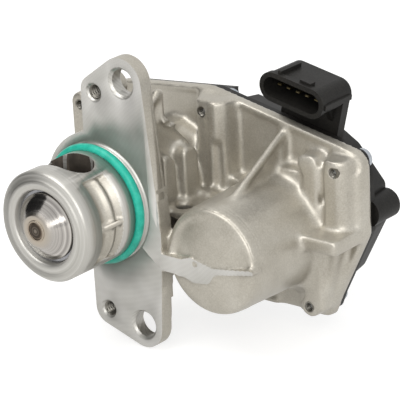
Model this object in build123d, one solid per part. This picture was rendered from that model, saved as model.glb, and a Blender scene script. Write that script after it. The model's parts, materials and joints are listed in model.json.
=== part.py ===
from build123d import *

import math
import os

# Exhaust gas recirculation valve: a flange-mounted poppet valve, driven by a gear motor beside its stem.
# Millimetres, +Z up. The origin lies on the valve axis, in the machined face of the mounting flange.
# The nose points along -Y, the gearbox lies behind the flange at +Y, and the motor is on the +X side.

# ---------------------------------------------------------------- fits and clearances
RUN_GAP = 0.06           # radial running clearance of a shaft in its bush
SEAT_GAP = 0.03          # radial gap between a glued or pushed-in piece and its bore
AIR_GAP = 0.4            # clearance between faces that pass each other
OVERLAP = 0.5            # depth by which cast features run into the body that carries them

# ---------------------------------------------------------------- flange
FLANGE_T = 5.8
LOBE_R = 24.1            # round part of the flange about the valve axis
THREAD_R = 2.6           # core of the M6 threads
THREAD_MOUTH_R = 3.4
THREAD_DEPTH = 11.0
THREAD_SPOTS = [(0.0, 38.0), (0.0, -39.0)]
THREAD_EAR_R = 5.7
THREAD_BACK_R = 5.0      # round boss behind the flange that gives the thread its length
BOLT_R = 4.5             # clearance hole for M8
BOLT_MOUTH_R = 5.5
BOLT_SPOTS = [(12.2, 43.2), (15.4, -41.3)]
BOLT_EAR_R = [8.6, 8.0]
FLANGE_SIDE = (21.7, -8.4)
FLANGE_SIDE_R = 4.0

# ---------------------------------------------------------------- nose
NOSE_R = 19.0
NOSE_L = 28.6
NOSE_EDGE = 1.1          # chamfer on the front rim
NOSE_STEP_R = 16.2       # shallow turned step in the front face
NOSE_STEP = 0.35
RING_L = 7.8             # turned front ring
WAIST_L = 10.6           # raw cast waist behind the front ring
WAIST_CUT = 1.7
WAIST_RIB_W = 1.7
WAIST_RIB_H = 0.9
WAIST_ANGLES = [54.0, 5.0, -44.0]
BORE_R = 12.7
BORE_EDGE = 0.7
CHAMBER_R = 13.4
CHAMBER_BACK = 7.0       # distance of the chamber floor in front of the flange face
PORT_W = 21.4            # side ports of the nose, across
PORT_L = 13.2            # side ports of the nose, along the axis
PORT_X = -1.4
PORT_Y = -14.2
GROOVE_W = 3.5
GROOVE_Y = -2.9
O_RING_SECTION = 3.2
O_RING_R = 19.35         # radius of the ring's centre line
SHOULDER_R = 20.1
RELIEF_R = 21.3          # shallow ring turned into the flange face round the O-ring
RELIEF_DEPTH = 0.5

# ---------------------------------------------------------------- valve
LIFT = 6.0
STEM_R = 3.0
STEM_FRONT = -32.1
STEM_BACK = 36.3
HEAD_R = 11.4
HEAD_RIM_Y = -27.4
HEAD_RIM_T = 0.9
HEAD_TIP_Y = -31.9
HEAD_TIP_R = 5.3
HEAD_BACK_R = 5.2
HEAD_BACK_Y = -21.5
WELD_R = 3.6
SEAT_FRONT = -26.2
SEAT_L = 4.2
SEAT_BORE_R = 9.9
SEAT_MOUTH_R = 11.2
SEAT_CLEARANCE = 0.12    # left between head and seat at rest
SEAT_LEDGE_R = 11.6
SEAT_LEDGE_L = 1.2
GUIDE_R = 6.0
GUIDE_FRONT = -9.5
GUIDE_BACK = 6.0
GUIDE_BOSS_R = 8.6
SEAL_R = 8.0
SEAL_L = 3.5
SPRING_SEAT_T = 0.9
SPRING_CAVITY_R = 9.8
SPRING_R = 7.2
SPRING_WIRE = 1.6
SPRING_TURNS = 5.0
RETAINER_Y = 27.0
RETAINER_T = 1.8
RETAINER_R = 9.0
CLIP_T = 0.9
CLIP_R = 4.6
CLIP_GROOVE = 0.4

# ---------------------------------------------------------------- helical cam
PIN_Y = 33.5
PIN_R = 1.5
PIN_REACH = 15.2
ROLLER_R = 2.7
ROLLER_L = 2.1
CAM_SLOT_W = 6.0         # width of the helical slots along the axis
CAM_SLOT_END_R = 2.85
CAM_TURN = 90.0          # degrees of gear turn for the full lift
CAM_OVERRUN = 3.0        # degrees by which each slot runs past its working ends
DRUM_R = 12.5
DRUM_BORE = 9.8
DRUM_FRONT = 21.6
DRUM_FLOOR = 37.0
DRUM_SHOULDER_R = 11.5
HUB_R = 10.0
HUB_HOLLOW_R = 5.0
HUB_HOLLOW_Y = 40.0
SPLINE_R = 8.0
SPLINE_FLAT = 7.2
SPLINE_BACK = 49.2
NECK_BORE_R = 13.0
NECK_R = 15.4
TRACK_REACH = 15.6
TRACK_GAP = 0.12

# ---------------------------------------------------------------- bearing of the drum: 20 x 32 x 7
BEARING_R = 15.2
BEARING_L = 7.0
BEARING_FRONT = 38.0
BALL_R = 1.9
BALL_CENTRE_R = 13.0
BALL_COUNT = 11
RACE_GAP = 0.08
RACE_INNER_R = 11.9
RACE_OUTER_R = 14.1

# ---------------------------------------------------------------- gears
MODULE_LAST = 1.0
MODULE_FIRST = 0.8
TEETH_OUTPUT = 46
TEETH_SMALL = 11
TEETH_LARGE = 38
TEETH_MOTOR = 10
BACKLASH = 0.24
PRESSURE_ANGLE = 20.0
ADDENDUM = 0.92
DEDENDUM = 1.2
GEAR_FRONT = 45.5
GEAR_T = 4.0
SECTOR_SPARE = 17.0      # degrees of teeth past each end of the working range
GEAR_HUB_R = 11.2
GEAR_WEB_R = 19.6
GEAR_WEB_Y = (46.4, 48.4)
GEAR_RIBS = 5
SMALL_BACK = 50.2
LARGE_FRONT = 50.2
LARGE_T = 4.2
LARGE_WEB_R = 12.6
MOTOR_PINION_FRONT = 46.6
MOTOR_PINION_BACK = 54.8
AXLE_R = 1.5
AXLE_FRONT = 37.6
AXLE_BACK = 55.8
AXLE_BOSS_R = 4.4
MAGNET_R = 4.0
MAGNET_Y = (50.6, 53.0)
MAGNET_CUP_R = 5.4

# ---------------------------------------------------------------- motor
MOTOR_X = 44.5
MOTOR_Z = -13.0
CAN_R = 18.5
CAN_BACK_R = 19.9
CAN_FRONT = 0.9
CAN_DISH = 1.5           # depth of the dished end inside its rim
CAN_CROWN = 0.3          # place of the dome's crown along Y
CAN_BULGE_R = 15.2
CAN_BULGE_X = 1.1
CAN_BULGE_Z = 0.6
CAN_BORE_R = 16.6
CAN_FLOOR = 5.6
MOTOR_R = 16.2
MOTOR_FRONT = 6.6
MOTOR_BACK = 42.6
MOTOR_SKIN = 1.2
MOTOR_NECK_R = 5.0
MOTOR_NECK_L = 2.4
BUSH_R = 3.6
BUSH_L = 3.4
SHAFT_R = 1.6
SHAFT_FRONT = 8.4
SHAFT_BACK = 55.2
MAGNET_SHELL = 3.0
MAGNET_SPAN = 66.0       # half the arc of each motor magnet, in degrees
ARMATURE_R = 11.4
ARMATURE_Y = (13.5, 31.0)
ARMATURE_SLOTS = 5
ARMATURE_CORE_R = 4.6
ARMATURE_SHOE_R = 9.8
ARMATURE_LEG_W = 3.0
WINDING_END = 1.6
COMMUTATOR_R = 4.4
COMMUTATOR_Y = (33.2, 38.4)
END_CAP_T = 3.0
BRUSH_W = 2.4
BRUSH_R_OUT = 9.0
BRACKET_T = 1.4
BRACKET_EAR = 20.6       # distance of the bracket's screws from the motor axis
BRACKET_ANGLES = [50.0, 230.0]
BRACKET_EAR_R = 3.6
BRACKET_SCREW_R = 1.25
TERMINAL_SPOTS = [(10.6, 2.6), (10.6, -2.6)]
TERMINAL_BACK = 51.0

# ---------------------------------------------------------------- gearbox plate and cover
PLATE_FRONT = 41.9       # front face of the plate, inside its rim lip
LIP_FRONT = 41.0
LIP_W = 1.6
PLATE_BACK = 45.0
FLOOR_BACK = 43.2
RIM_W = 3.2
SHELF_Z = -3.0
SHELF_HOLE = (20.9, 17.8)
SHELF_HOLE_R = 2.8
PLATE_OUTLINE = [
    (-50.0, 16.0), (-44.0, 19.6), (-23.7, 26.6), (13.8, 30.3), (78.0, 17.6), (78.0, -10.6), (65.6, -35.4),
    (62.6, -42.8), (18.0, -43.6), (-6.0, -36.2), (-38.0, -20.4), (-50.0, -7.0),
]
PLATE_CORNERS = [3.0, 6.0, 20.0, 12.0, 6.0, 4.0, 8.0, 4.0, 8.0, 16.0, 12.0, 8.0]
COVER_CORNER_R = 14.0    # the cover's flange is cut back at the upper corner beside the motor
COVER_EAR_R = 4.0
SCREW_SPOTS = [(-39.0, 17.2), (17.0, 24.3), (71.2, 12.9), (59.2, -37.0), (8.5, -35.2), (-31.0, -17.0)]
SCREW_HOLE_R = 1.65
SCREW_EAR_R = 4.8
BOSS_R = 4.3
BOSS_FRONT = 34.0
COVER_INSET = 1.2
COVER_FLANGE_BACK = 48.6
DOME_INSET = 3.4
DOME_TAPER = 8.0
DOME_BACK = 59.0
DOME_WALL = 2.0
SCREW_POCKET_R = 5.0
GASKET_W = 1.2
GASKET_T = 1.5
GASKET_INSET = 0.3
SCREW_HEAD_R = 3.4
SCREW_HEAD_T = 2.6
SCREW_SOCKET_R = 1.6
VENT = (74.5, -4.5)
VENT_R = 5.0

# ---------------------------------------------------------------- plug shell on the cover
PLUG_TILT = -11.2        # the plug lies along the sloping top edge of the gearbox
PLUG_SPOT = (52.8, 35.3)
PLUG_L = 25.4
PLUG_H = 9.4
PLUG_WALL = 1.25
PLUG_FRONT = 37.0
PLUG_FLOOR = 49.0
PLUG_BACK = 53.2
BLADE_COUNT = 5
BLADE_PITCH = 3.8
BLADE_W = 1.4
BLADE_T = 0.7
BLADE_FRONT = 40.6
BLADE_BEND = 51.4
BLADE_DROP = 19.0        # length of the blades down into the gearbox
TOWER_Y = (49.6, 53.2)


# ================================================================ helpers
def face_plane(y):
    """Plane square to Y whose local axes are X and Z."""
    return Plane(origin=(0, y, 0), x_dir=(1, 0, 0), z_dir=(0, -1, 0))


def slab(sketch, y0, y1, taper=0.0):
    """Flat shape in X and Z, pulled along Y from y0 to y1."""
    return extrude(face_plane(y0) * sketch, amount=y1 - y0, dir=(0, 1, 0), taper=taper)


def rod(radius, y0, y1, spot=(0.0, 0.0)):
    """Round bar along Y."""
    return slab(Pos(spot[0], spot[1]) * Circle(radius), y0, y1)


def tube(outer, inner, y0, y1, spot=(0.0, 0.0)):
    return rod(outer, y0, y1, spot) - rod(inner, y0, y1, spot)


def turned(points, spot=(0.0, 0.0)):
    """Body of revolution about an axis along Y; points are (radius, y)."""
    profile = make_face(Polyline(*points, close=True))
    return Pos(spot[0], 0, spot[1]) * revolve(profile, Axis.Y)


def rounded(points, radii):
    return make_face(FilletPolyline(*points, radius=radii, close=True))


def block(x_span, y_span, z_span):
    size = [span[1] - span[0] for span in (x_span, y_span, z_span)]
    middle = [(span[1] + span[0]) / 2 for span in (x_span, y_span, z_span)]
    return Pos(*middle) * Box(*size)


def web(points, x0, x1):
    """Flat web between two planes across X; points are (y, z)."""
    plane = Plane(origin=(x0, 0, 0), x_dir=(0, 1, 0), z_dir=(1, 0, 0))
    return extrude(plane * make_face(Polyline(*points, close=True)), amount=x1 - x0)


def column(x0, x1, front, z0, z1, radius):
    """Upright cast bar on the front of the gearbox plate, rounded at its front edges and top."""
    bar = block((x0, x1), (front, PLATE_FRONT + OVERLAP), (z0, z1))
    face = bar.faces().sort_by(Axis.Y)[0]
    edges = face.edges().filter_by(Axis.Z) + face.edges().sort_by(Axis.Z)[-1:]
    return fillet(edges, radius)


def union(shapes):
    total = shapes[0]
    for shape in shapes[1:]:
        total = total + shape
    return total


def polar(radius, degrees):
    return radius * math.cos(math.radians(degrees)), radius * math.sin(math.radians(degrees))


def sector(radius, start, end):
    """Pie slice from one angle to another, less than half a turn apart between its middle and its ends."""
    middle = (start + end) / 2
    reach = radius * 2.0
    return make_face(Polyline((0, 0), polar(reach, start), polar(reach, middle), polar(reach, end), close=True))


def save(name, shape):
    shape.label = name
    export_step(shape, os.path.join("parts", name + ".step"))


# ================================================================ gears
def involute(angle):
    return math.tan(angle) - angle


def gear_sketch(module, teeth, phase):
    """Spur gear outline; phase is the angle in degrees of the middle of one tooth, from X towards Z."""
    pitch_r = module * teeth / 2
    base_r = pitch_r * math.cos(math.radians(PRESSURE_ANGLE))
    tip_r = pitch_r + module * ADDENDUM
    root_r = pitch_r - module * DEDENDUM
    half_pitch = (math.pi * module / 2 - BACKLASH) / (2 * pitch_r)
    flank = []
    for radius in (max(root_r, base_r), pitch_r, tip_r):
        slope = math.acos(min(1.0, base_r / radius))
        half = half_pitch + involute(math.radians(PRESSURE_ANGLE)) - involute(slope)
        flank.append((radius, math.degrees(half)))
    if root_r < base_r:
        flank.insert(0, (root_r, flank[0][1] * 1.1))
    points = []
    for tooth in range(teeth):
        middle = phase + 360.0 * tooth / teeth
        points += [polar(radius, middle - half) for radius, half in flank]
        points += [polar(radius, middle + half) for radius, half in reversed(flank)]
    return make_face(Polyline(*points, close=True))


def mesh_phase(angle, driver_phase, driver_teeth, teeth):
    """Phase of a gear whose centre lies at the given angle from its driver, so that tooth meets gap."""
    driver_step = 360.0 / driver_teeth
    step = 360.0 / teeth
    share = ((angle - driver_phase) % driver_step) / driver_step
    return angle + 180.0 + (share + 0.5) * step


def gear_places():
    """Centre of the intermediate gear, its angle from the valve axis, and the phases of its two meshes."""
    last = MODULE_LAST * (TEETH_OUTPUT + TEETH_SMALL) / 2
    first = MODULE_FIRST * (TEETH_LARGE + TEETH_MOTOR) / 2
    span = math.hypot(MOTOR_X, MOTOR_Z)
    along = (last ** 2 - first ** 2 + span ** 2) / (2 * span)
    aside = math.sqrt(last ** 2 - along ** 2)
    across_x, across_z = MOTOR_X / span, MOTOR_Z / span
    x = across_x * along - across_z * aside
    z = across_z * along + across_x * aside
    to_middle = math.degrees(math.atan2(z, x))
    to_motor = math.degrees(math.atan2(MOTOR_Z - z, MOTOR_X - x))
    small = mesh_phase(to_middle, 0.0, TEETH_OUTPUT, TEETH_SMALL)
    motor = mesh_phase(to_motor, small, TEETH_LARGE, TEETH_MOTOR)
    return (x, z), to_middle, small, motor


MOTOR = (MOTOR_X, MOTOR_Z)
MIDDLE, MESH_ANGLE, MIDDLE_PHASE, MOTOR_PHASE = gear_places()


# ================================================================ housing
def flange():
    """Plate with one lobe about the valve axis, two long arms and a bulge towards the motor."""
    arms = []
    for thread, bolt, ear in zip(THREAD_SPOTS, BOLT_SPOTS, BOLT_EAR_R):
        circles = [Pos(*thread) * Circle(THREAD_EAR_R), Pos(*bolt) * Circle(ear), Pos(*FLANGE_SIDE) * Circle(FLANGE_SIDE_R)]
        circles.append(Pos(0.4, 0.0) * Circle(6.4))
        arms.append(make_hull(ShapeList([edge for circle in circles for edge in circle.edges()])))
    return slab(arms[0] + arms[1] + Circle(LOBE_R), 0.0, FLANGE_T)


def nose():
    """Turned nose with the O-ring groove and the shoulder in front of the flange."""
    front = -NOSE_L
    groove_front = GROOVE_Y - GROOVE_W / 2
    groove_back = GROOVE_Y + GROOVE_W / 2
    groove_r = O_RING_R - O_RING_SECTION / 2 - 0.02
    return turned([
        (0, front), (NOSE_STEP_R, front), (NOSE_STEP_R + 0.1, front + NOSE_STEP), (NOSE_R - NOSE_EDGE, front + NOSE_STEP),
        (NOSE_R, front + NOSE_STEP + NOSE_EDGE), (NOSE_R, groove_front), (groove_r, groove_front),
        (groove_r, groove_back), (SHOULDER_R - 0.4, groove_back), (SHOULDER_R, groove_back + 0.4),
        (SHOULDER_R, FLANGE_T), (0, FLANGE_T),
    ])


def nose_waist():
    """Ring segments to cut from both flanks of the nose, less the cast ridges that stay."""
    front = -NOSE_L + RING_L
    back = front + WAIST_L
    depth_r = NOSE_R - WAIST_CUT
    crest_r = depth_r + WAIST_RIB_H
    ring = tube(NOSE_R + 3.0, depth_r, front, back)
    for y in (back - 4.8, back - 1.3):
        ring = ring - tube(crest_r, depth_r - 1.0, y, y + WAIST_RIB_W)
    for x_span in ((depth_r - 2.0, crest_r), (-crest_r, -depth_r + 2.0)):
        ring = ring - block(x_span, (front + 2.4, back), (-0.9, 0.9))
    reach = NOSE_R + 12.0
    corners = [(0.0, 0.0)] + [polar(reach, angle) for angle in WAIST_ANGLES]
    wedge = slab(make_face(Polyline(*corners, close=True)), front, back)
    return ring & (wedge + mirror(wedge, Plane.YZ))


def port_cuts():
    """Oval gas ports through the top and the bottom of the nose, opening outwards."""
    oval = Pos(PORT_X, PORT_Y) * SlotOverall(PORT_W - 1.6, PORT_L - 1.6)
    upper = extrude(Plane(origin=(0, 0, 6.0)) * oval, amount=17.0, taper=-3.0)
    return [upper, mirror(upper, Plane.XY)]


def neck():
    """Cast neck between flange and gearbox, with ring ribs that break up its wall."""
    back = PLATE_FRONT + OVERLAP
    return turned([
        (0, OVERLAP), (18.8, OVERLAP), (18.8, FLANGE_T), (17.0, FLANGE_T + 1.6), (16.2, 13.0), (NECK_R, 16.0),
        (NECK_R, BEARING_FRONT - 2.0), (NECK_R + 0.4, BEARING_FRONT - 0.8), (BEARING_R + 1.4, BEARING_FRONT + 0.2),
        (BEARING_R + 1.4, back), (0, back),
    ])


def neck_bars():
    """Flat-faced bars on the motor side of the neck, with a dark slot between them."""
    outer = web([(11.4, -1.0), (11.4, 15.4), (14.6, 15.4), (17.8, 12.2), (17.8, -1.0)], 8.0, 18.8)
    inner = web([(21.6, -3.4), (21.6, 13.4), (23.4, 15.2), (27.4, 14.6), (29.4, 12.2), (29.4, -3.4)], 8.0, 18.8)
    pads = [block((12.0, 19.6), (7.0, 10.6), (-4.4, 2.0)), block((18.0, 23.4), (27.6, 31.4), (-4.0, -1.6))]
    bars = [fillet(bar.faces().sort_by(Axis.X)[-1].edges(), 0.8) for bar in (outer, inner)]
    return union(bars + pads)


def arm_webs():
    """Webs that prop the flange arms from the neck, the one on the motor side recessed inside its rim, and the ridges
    that cover the ends of the roller tracks."""
    front = FLANGE_T - OVERLAP
    back = PLATE_FRONT + OVERLAP
    upper = [(front, 3.0), (front, 33.4), (12.6, 34.0), (15.6, 37.2), (18.2, 36.4), (17.9, 27.0), (26.4, 18.0),
             (29.5, 14.6), (29.5, 3.0)]
    window = [(FLANGE_T + 1.6, 9.0), (FLANGE_T + 1.6, 31.6), (13.2, 32.2), (15.6, 34.4), (16.2, 33.8), (15.8, 26.2),
              (25.4, 16.4), (25.4, 9.0)]
    lower = [(front, -12.0), (front, -36.0), (12.0, -33.0), (back, -22.0), (back, -12.0)]
    framed = web(upper, 12.0, 15.0) - web(window, 13.2, 16.0)
    tracks = block((-3.2, 3.2), (track_front() - 1.4, back), (-TRACK_REACH - 1.6, TRACK_REACH + 1.6))
    return [framed, web(upper, -4.4, -1.6), web(lower, -2.0, 1.4), web(lower, 11.0, 14.0), tracks]


def can():
    """Blind cylinder that holds the motor; above the bar its end is a low dome inside a raised rim."""
    back = PLATE_FRONT + OVERLAP
    dish = CAN_FRONT + CAN_DISH
    body = turned([
        (0, dish), (15.2, dish), (16.3, CAN_FRONT + 0.9), (16.9, CAN_FRONT + 0.5), (17.4, CAN_FRONT + 0.6),
        (18.0, CAN_FRONT + 1.4), (CAN_R, CAN_FRONT + 3.2), (CAN_BACK_R, back), (0, back),
    ], MOTOR)
    flare = turned([
        (CAN_R, back - 12.0), (CAN_BACK_R, back - 9.6), (CAN_BACK_R + 1.0, back - 6.2), (CAN_BACK_R + 2.8, back - 2.9),
        (CAN_BACK_R + 5.6, back), (CAN_R, back),
    ], MOTOR)
    flare = flare & block((MOTOR_X + 1.4, MOTOR_X + 30), (0, back), (MOTOR_Z - 24, MOTOR_Z + 30))
    radius = (CAN_BULGE_R ** 2 + (dish - CAN_CROWN) ** 2) / (2 * (dish - CAN_CROWN))
    bulge = Pos(MOTOR_X + CAN_BULGE_X, CAN_CROWN + radius, MOTOR_Z + CAN_BULGE_Z) * Sphere(radius)
    bulge = bulge & rod(CAN_R - 1.4, 0.0, dish + 1.0, MOTOR)
    chin = turned([
        (0, CAN_CROWN), (10.0, CAN_CROWN + 0.1), (14.0, CAN_CROWN + 0.4), (16.4, CAN_CROWN + 1.0),
        (17.6, CAN_CROWN + 1.9), (18.3, CAN_CROWN + 3.2), (CAN_R, CAN_FRONT + 4.4), (0, CAN_FRONT + 4.4),
    ], MOTOR)
    chin = chin & block((MOTOR_X - 30, MOTOR_X + 30), (-5, 10), (MOTOR_Z - 30, MOTOR_Z - 1.0))
    return union([body, flare, bulge, chin])


def bridge():
    """Machined bar in the flange plane that ties the flange to the can, and the shelves behind it."""
    bar = rounded(
        [(18.0, -13.7), (34.0, -13.3), (37.4, -12.0), (42.0, -12.9), (46.8, -13.9), (63.4, -11.2), (63.9, -12.9),
         (47.6, -16.2), (45.0, -20.0), (38.4, -21.0), (34.6, -19.8), (18.0, -19.4)],
        [0.5, 2.0, 2.0, 2.5, 1.0, 0.5, 0.5, 1.0, 3.0, 3.0, 2.0, 0.5])
    low = block((18.0, 31.0), (OVERLAP, PLATE_FRONT + OVERLAP), (-19.2, -13.9))
    high = block((13.0, 31.0), (SHELF_HOLE[1] - 6.0, PLATE_FRONT + OVERLAP), (SHELF_Z - 3.0, SHELF_Z))
    high = high - Pos(SHELF_HOLE[0], SHELF_HOLE[1], SHELF_Z) * Cylinder(SHELF_HOLE_R, 8.0)
    rail = block((21.0, 23.0), (8.0, 16.0), (-15.0, -9.0))
    return union([slab(bar, 0.0, CAN_FRONT + 4.0), low, high, rail])


def can_gusset():
    """Web on top of the can, from the gearbox plate down to the can's crown, recessed inside its rim."""
    crown = MOTOR_Z + CAN_R
    back = PLATE_FRONT + OVERLAP
    slope = [(11.6, crown - 1.0), (12.6, crown + 0.6), (back, 22.2), (back, crown - 1.0)]
    panel = [(14.4, crown - 0.9), (38.8, 18.2), (38.8, 12.6), (37.6, 9.4), (35.0, 7.3), (31.0, 6.0), (30.0, crown - 0.9)]
    return [web(slope, 44.4, 47.0) - web(panel, 45.6, 48.0)]


def bank(points, radii, z0, z1):
    """Upright bar with the given outline in X and Y; its last and first points lie in the plate."""
    outline = make_face(FilletPolyline(*points, radius=radii, close=True))
    return extrude(Plane.XY.offset(z0) * outline, amount=z1 - z0)


def plate_columns():
    """Columns, lug and bosses on the front of the gearbox plate, as the die leaves them."""
    back = PLATE_FRONT + OVERLAP
    lug_low, lug_high = -12.6, -7.4
    corner_x, corner_z = SCREW_SPOTS[3]
    lug = block((62.6, 77.6), (25.2, back), (lug_low, lug_high))
    lug = fillet(lug.edges().filter_by(Axis.X).sort_by(Axis.Y)[:2], 0.6) - Pos(68.7, 28.9, lug_high) * Cylinder(0.9, 2.0)
    broad = bank([(9.6, back), (14.6, BOSS_FRONT), (18.9, BOSS_FRONT), (20.0, 33.0), (23.0, 33.4), (25.6, 36.4), (26.4, back)],
                 [0.1, 0.6, 0.4, 0.9, 1.8, 1.8, 0.1], -2.4, 28.6)
    groove = slab(Pos(22.6, 5.0) * Rot(0, 0, 90) * SlotOverall(20.0, 2.4), BOSS_FRONT - 4.0, 36.6)
    arch = slab(rounded([(57.6, -1.0), (57.8, 9.4), (55.2, 12.0), (55.6, 15.8), (62.6, 16.8), (63.7, 13.0), (63.5, 0.5),
                         (65.2, -11.0), (59.6, -11.0)], [3.0, 1.5, 1.2, 2.0, 2.4, 2.0, 4.0, 0.5, 0.5]), 34.8, back)
    leg = slab(rounded([(53.4, 0.0), (53.4, 6.6), (50.6, 7.6), (47.4, 7.8), (47.4, 9.4), (52.6, 9.8), (56.0, 8.4), (56.0, 0.0)],
                       [0.2, 1.2, 1.2, 0.2, 0.2, 2.0, 1.4, 0.2]), 36.4, back)
    ear = bank([(65.0, back), (66.9, BOSS_FRONT), (72.6, BOSS_FRONT), (75.2, 36.4), (75.4, back)],
               [0.1, 0.7, 2.2, 1.6, 0.1], lug_low, 16.6)
    side = bank([(74.0, back), (74.6, 39.0), (77.4, 39.4), (77.7, back)], [0.1, 0.9, 0.9, 0.1], lug_low, 11.8)
    lower = slab(rounded([(56.8, -11.0), (69.6, -11.0), (69.6, -18.6), (64.2, -37.8), (60.0, -40.4), (56.8, -38.0)],
                         [0.5, 0.5, 4.0, 3.0, 3.0, 1.5]), BOSS_FRONT + 2.2, back)
    return [
        broad - groove, arch, leg, ear, side, lug, lower,
        column(56.8, 65.0, BOSS_FRONT, -38.0, lug_low + OVERLAP, 1.2),
        rod(3.8, BOSS_FRONT, PLATE_BACK, (corner_x, corner_z)),
    ]


def with_ears(sketch, radius):
    """Outline plus a round ear at each cover screw."""
    for spot in SCREW_SPOTS:
        sketch = sketch + Pos(*spot) * Circle(radius)
    return sketch


def pocket_sketch():
    """Floor of the gearbox: the plate outline inside its rim, less the ears of the screws."""
    sketch = offset(rounded(PLATE_OUTLINE, PLATE_CORNERS), -RIM_W)
    for spot in SCREW_SPOTS:
        sketch = sketch - Pos(*spot) * Circle(SCREW_EAR_R)
    return sketch


def track_front():
    """Front end of the slots in the neck that guide the rollers."""
    return PIN_Y - LIFT - PIN_R - TRACK_GAP


def valve_bores():
    """Everything that is machined along the valve axis, from the nose to the gearbox."""
    seat_back = SEAT_FRONT + SEAT_L
    chamber_front = seat_back + SEAT_LEDGE_L
    front = turned([
        (0, -NOSE_L - 1.0), (BORE_R + BORE_EDGE + 1.0, -NOSE_L - 1.0), (BORE_R, -NOSE_L + BORE_EDGE), (BORE_R, seat_back),
        (SEAT_LEDGE_R, seat_back), (SEAT_LEDGE_R, chamber_front), (CHAMBER_R, chamber_front + 1.0),
        (CHAMBER_R, -CHAMBER_BACK - 2.0), (CHAMBER_R - 2.0, -CHAMBER_BACK), (GUIDE_BOSS_R, -CHAMBER_BACK),
        (GUIDE_BOSS_R - 1.2, GUIDE_FRONT), (0, GUIDE_FRONT),
    ])
    seal_back = GUIDE_BACK + SEAL_L
    cavity_back = DRUM_FRONT - 0.6
    back = turned([
        (0, GUIDE_FRONT - 1.0), (GUIDE_R, GUIDE_FRONT - 1.0), (GUIDE_R, GUIDE_BACK), (SEAL_R, GUIDE_BACK),
        (SEAL_R, seal_back), (SPRING_CAVITY_R, seal_back), (SPRING_CAVITY_R, cavity_back), (NECK_BORE_R, cavity_back),
        (NECK_BORE_R, BEARING_FRONT), (BEARING_R, BEARING_FRONT), (BEARING_R, PLATE_BACK + 2.0), (0, PLATE_BACK + 2.0),
    ])
    half = PIN_R + TRACK_GAP
    track = block((-half, half), (track_front(), BEARING_FRONT + 1.0), (-TRACK_REACH, TRACK_REACH))
    ends = [Pos(0, track_front(), 0) * Cylinder(half, 2 * TRACK_REACH)]
    return [front, back, track] + ends


def housing():
    ears = [rod(BOSS_R, BOSS_FRONT, PLATE_BACK, spot) for spot in SCREW_SPOTS[:1] + SCREW_SPOTS[4:]]
    thread_backs = [rod(THREAD_BACK_R, FLANGE_T - OVERLAP, THREAD_DEPTH + 1.2, spot) for spot in THREAD_SPOTS]
    outline = rounded(PLATE_OUTLINE, PLATE_CORNERS)
    plate = slab(with_ears(outline, SCREW_EAR_R), PLATE_FRONT, PLATE_BACK)
    lip = slab(outline, LIP_FRONT, PLATE_FRONT + OVERLAP) - slab(offset(outline, -LIP_W), LIP_FRONT - 1.0, PLATE_BACK)
    axle_boss = rod(AXLE_BOSS_R, AXLE_FRONT - 1.6, FLOOR_BACK + 1.2, MIDDLE)
    body = union([flange(), nose(), neck(), neck_bars(), can(), bridge(), plate, lip] + arm_webs() + can_gusset()
                 + plate_columns() + ears + thread_backs)
    body = body - slab(pocket_sketch(), FLOOR_BACK, PLATE_BACK + 1.0)
    bearing_rim = rod(BEARING_R + 2.2, FLOOR_BACK - OVERLAP, PLATE_BACK)
    screw_rims = [rod(BRACKET_EAR_R, BOSS_FRONT + 3.0, FLOOR_BACK, bracket_spot(angle)) for angle in BRACKET_ANGLES]
    body = union([body, axle_boss, bearing_rim] + screw_rims)
    body = body - nose_waist()
    for cut in port_cuts() + valve_bores():
        body = body - cut
    body = body - rod(CAN_BORE_R, CAN_FLOOR, PLATE_BACK + 1.0, MOTOR)
    body = body - rod(AXLE_R, AXLE_FRONT, PLATE_BACK + 1.0, MIDDLE)
    for spot in SCREW_SPOTS:
        body = body - rod(SCREW_HOLE_R, BOSS_FRONT - 2.0, PLATE_BACK + 1.0, spot)
    body = body - slab(Pos(44.9, -42.0) * Rot(0, 0, 90) * SlotOverall(16.8, 9.4), BOSS_FRONT, PLATE_FRONT + OVERLAP)
    for angle in BRACKET_ANGLES:
        body = body - rod(BRACKET_SCREW_R, FLOOR_BACK - 5.0, FLOOR_BACK + 1.0, bracket_spot(angle))
    for spot in THREAD_SPOTS:
        body = body - hole_with_mouth(THREAD_R, THREAD_MOUTH_R, THREAD_DEPTH, spot)
    for spot in BOLT_SPOTS:
        body = body - hole_with_mouth(BOLT_R, BOLT_MOUTH_R, FLANGE_T + 1.0, spot)
    pad_mark = rod(0.9, -1.0, 0.6, (39.4, -14.1))
    return body - pad_mark - tube(RELIEF_R, SHOULDER_R, -1.0, RELIEF_DEPTH)


def hole_with_mouth(radius, mouth_r, depth, spot):
    """Hole into the flange face with a countersunk mouth."""
    return turned([(0, -1.0), (mouth_r + 1.0, -1.0), (radius, mouth_r - radius), (radius, depth), (0, depth)], spot)


def bracket_spot(angle):
    x, z = polar(BRACKET_EAR, angle)
    return MOTOR_X + x, MOTOR_Z + z


# ================================================================ valve, spring and cam
def seat_ring():
    """Pressed ring with a bevelled seat that faces the head."""
    back = SEAT_FRONT + SEAT_L
    bevel = SEAT_MOUTH_R - SEAT_BORE_R
    return turned([
        (SEAT_MOUTH_R, SEAT_FRONT), (BORE_R - 0.4, SEAT_FRONT), (BORE_R, SEAT_FRONT + 0.4), (BORE_R, back),
        (SEAT_BORE_R + 0.5, back), (SEAT_BORE_R, back - 0.5), (SEAT_BORE_R, SEAT_FRONT + bevel),
    ])


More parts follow.
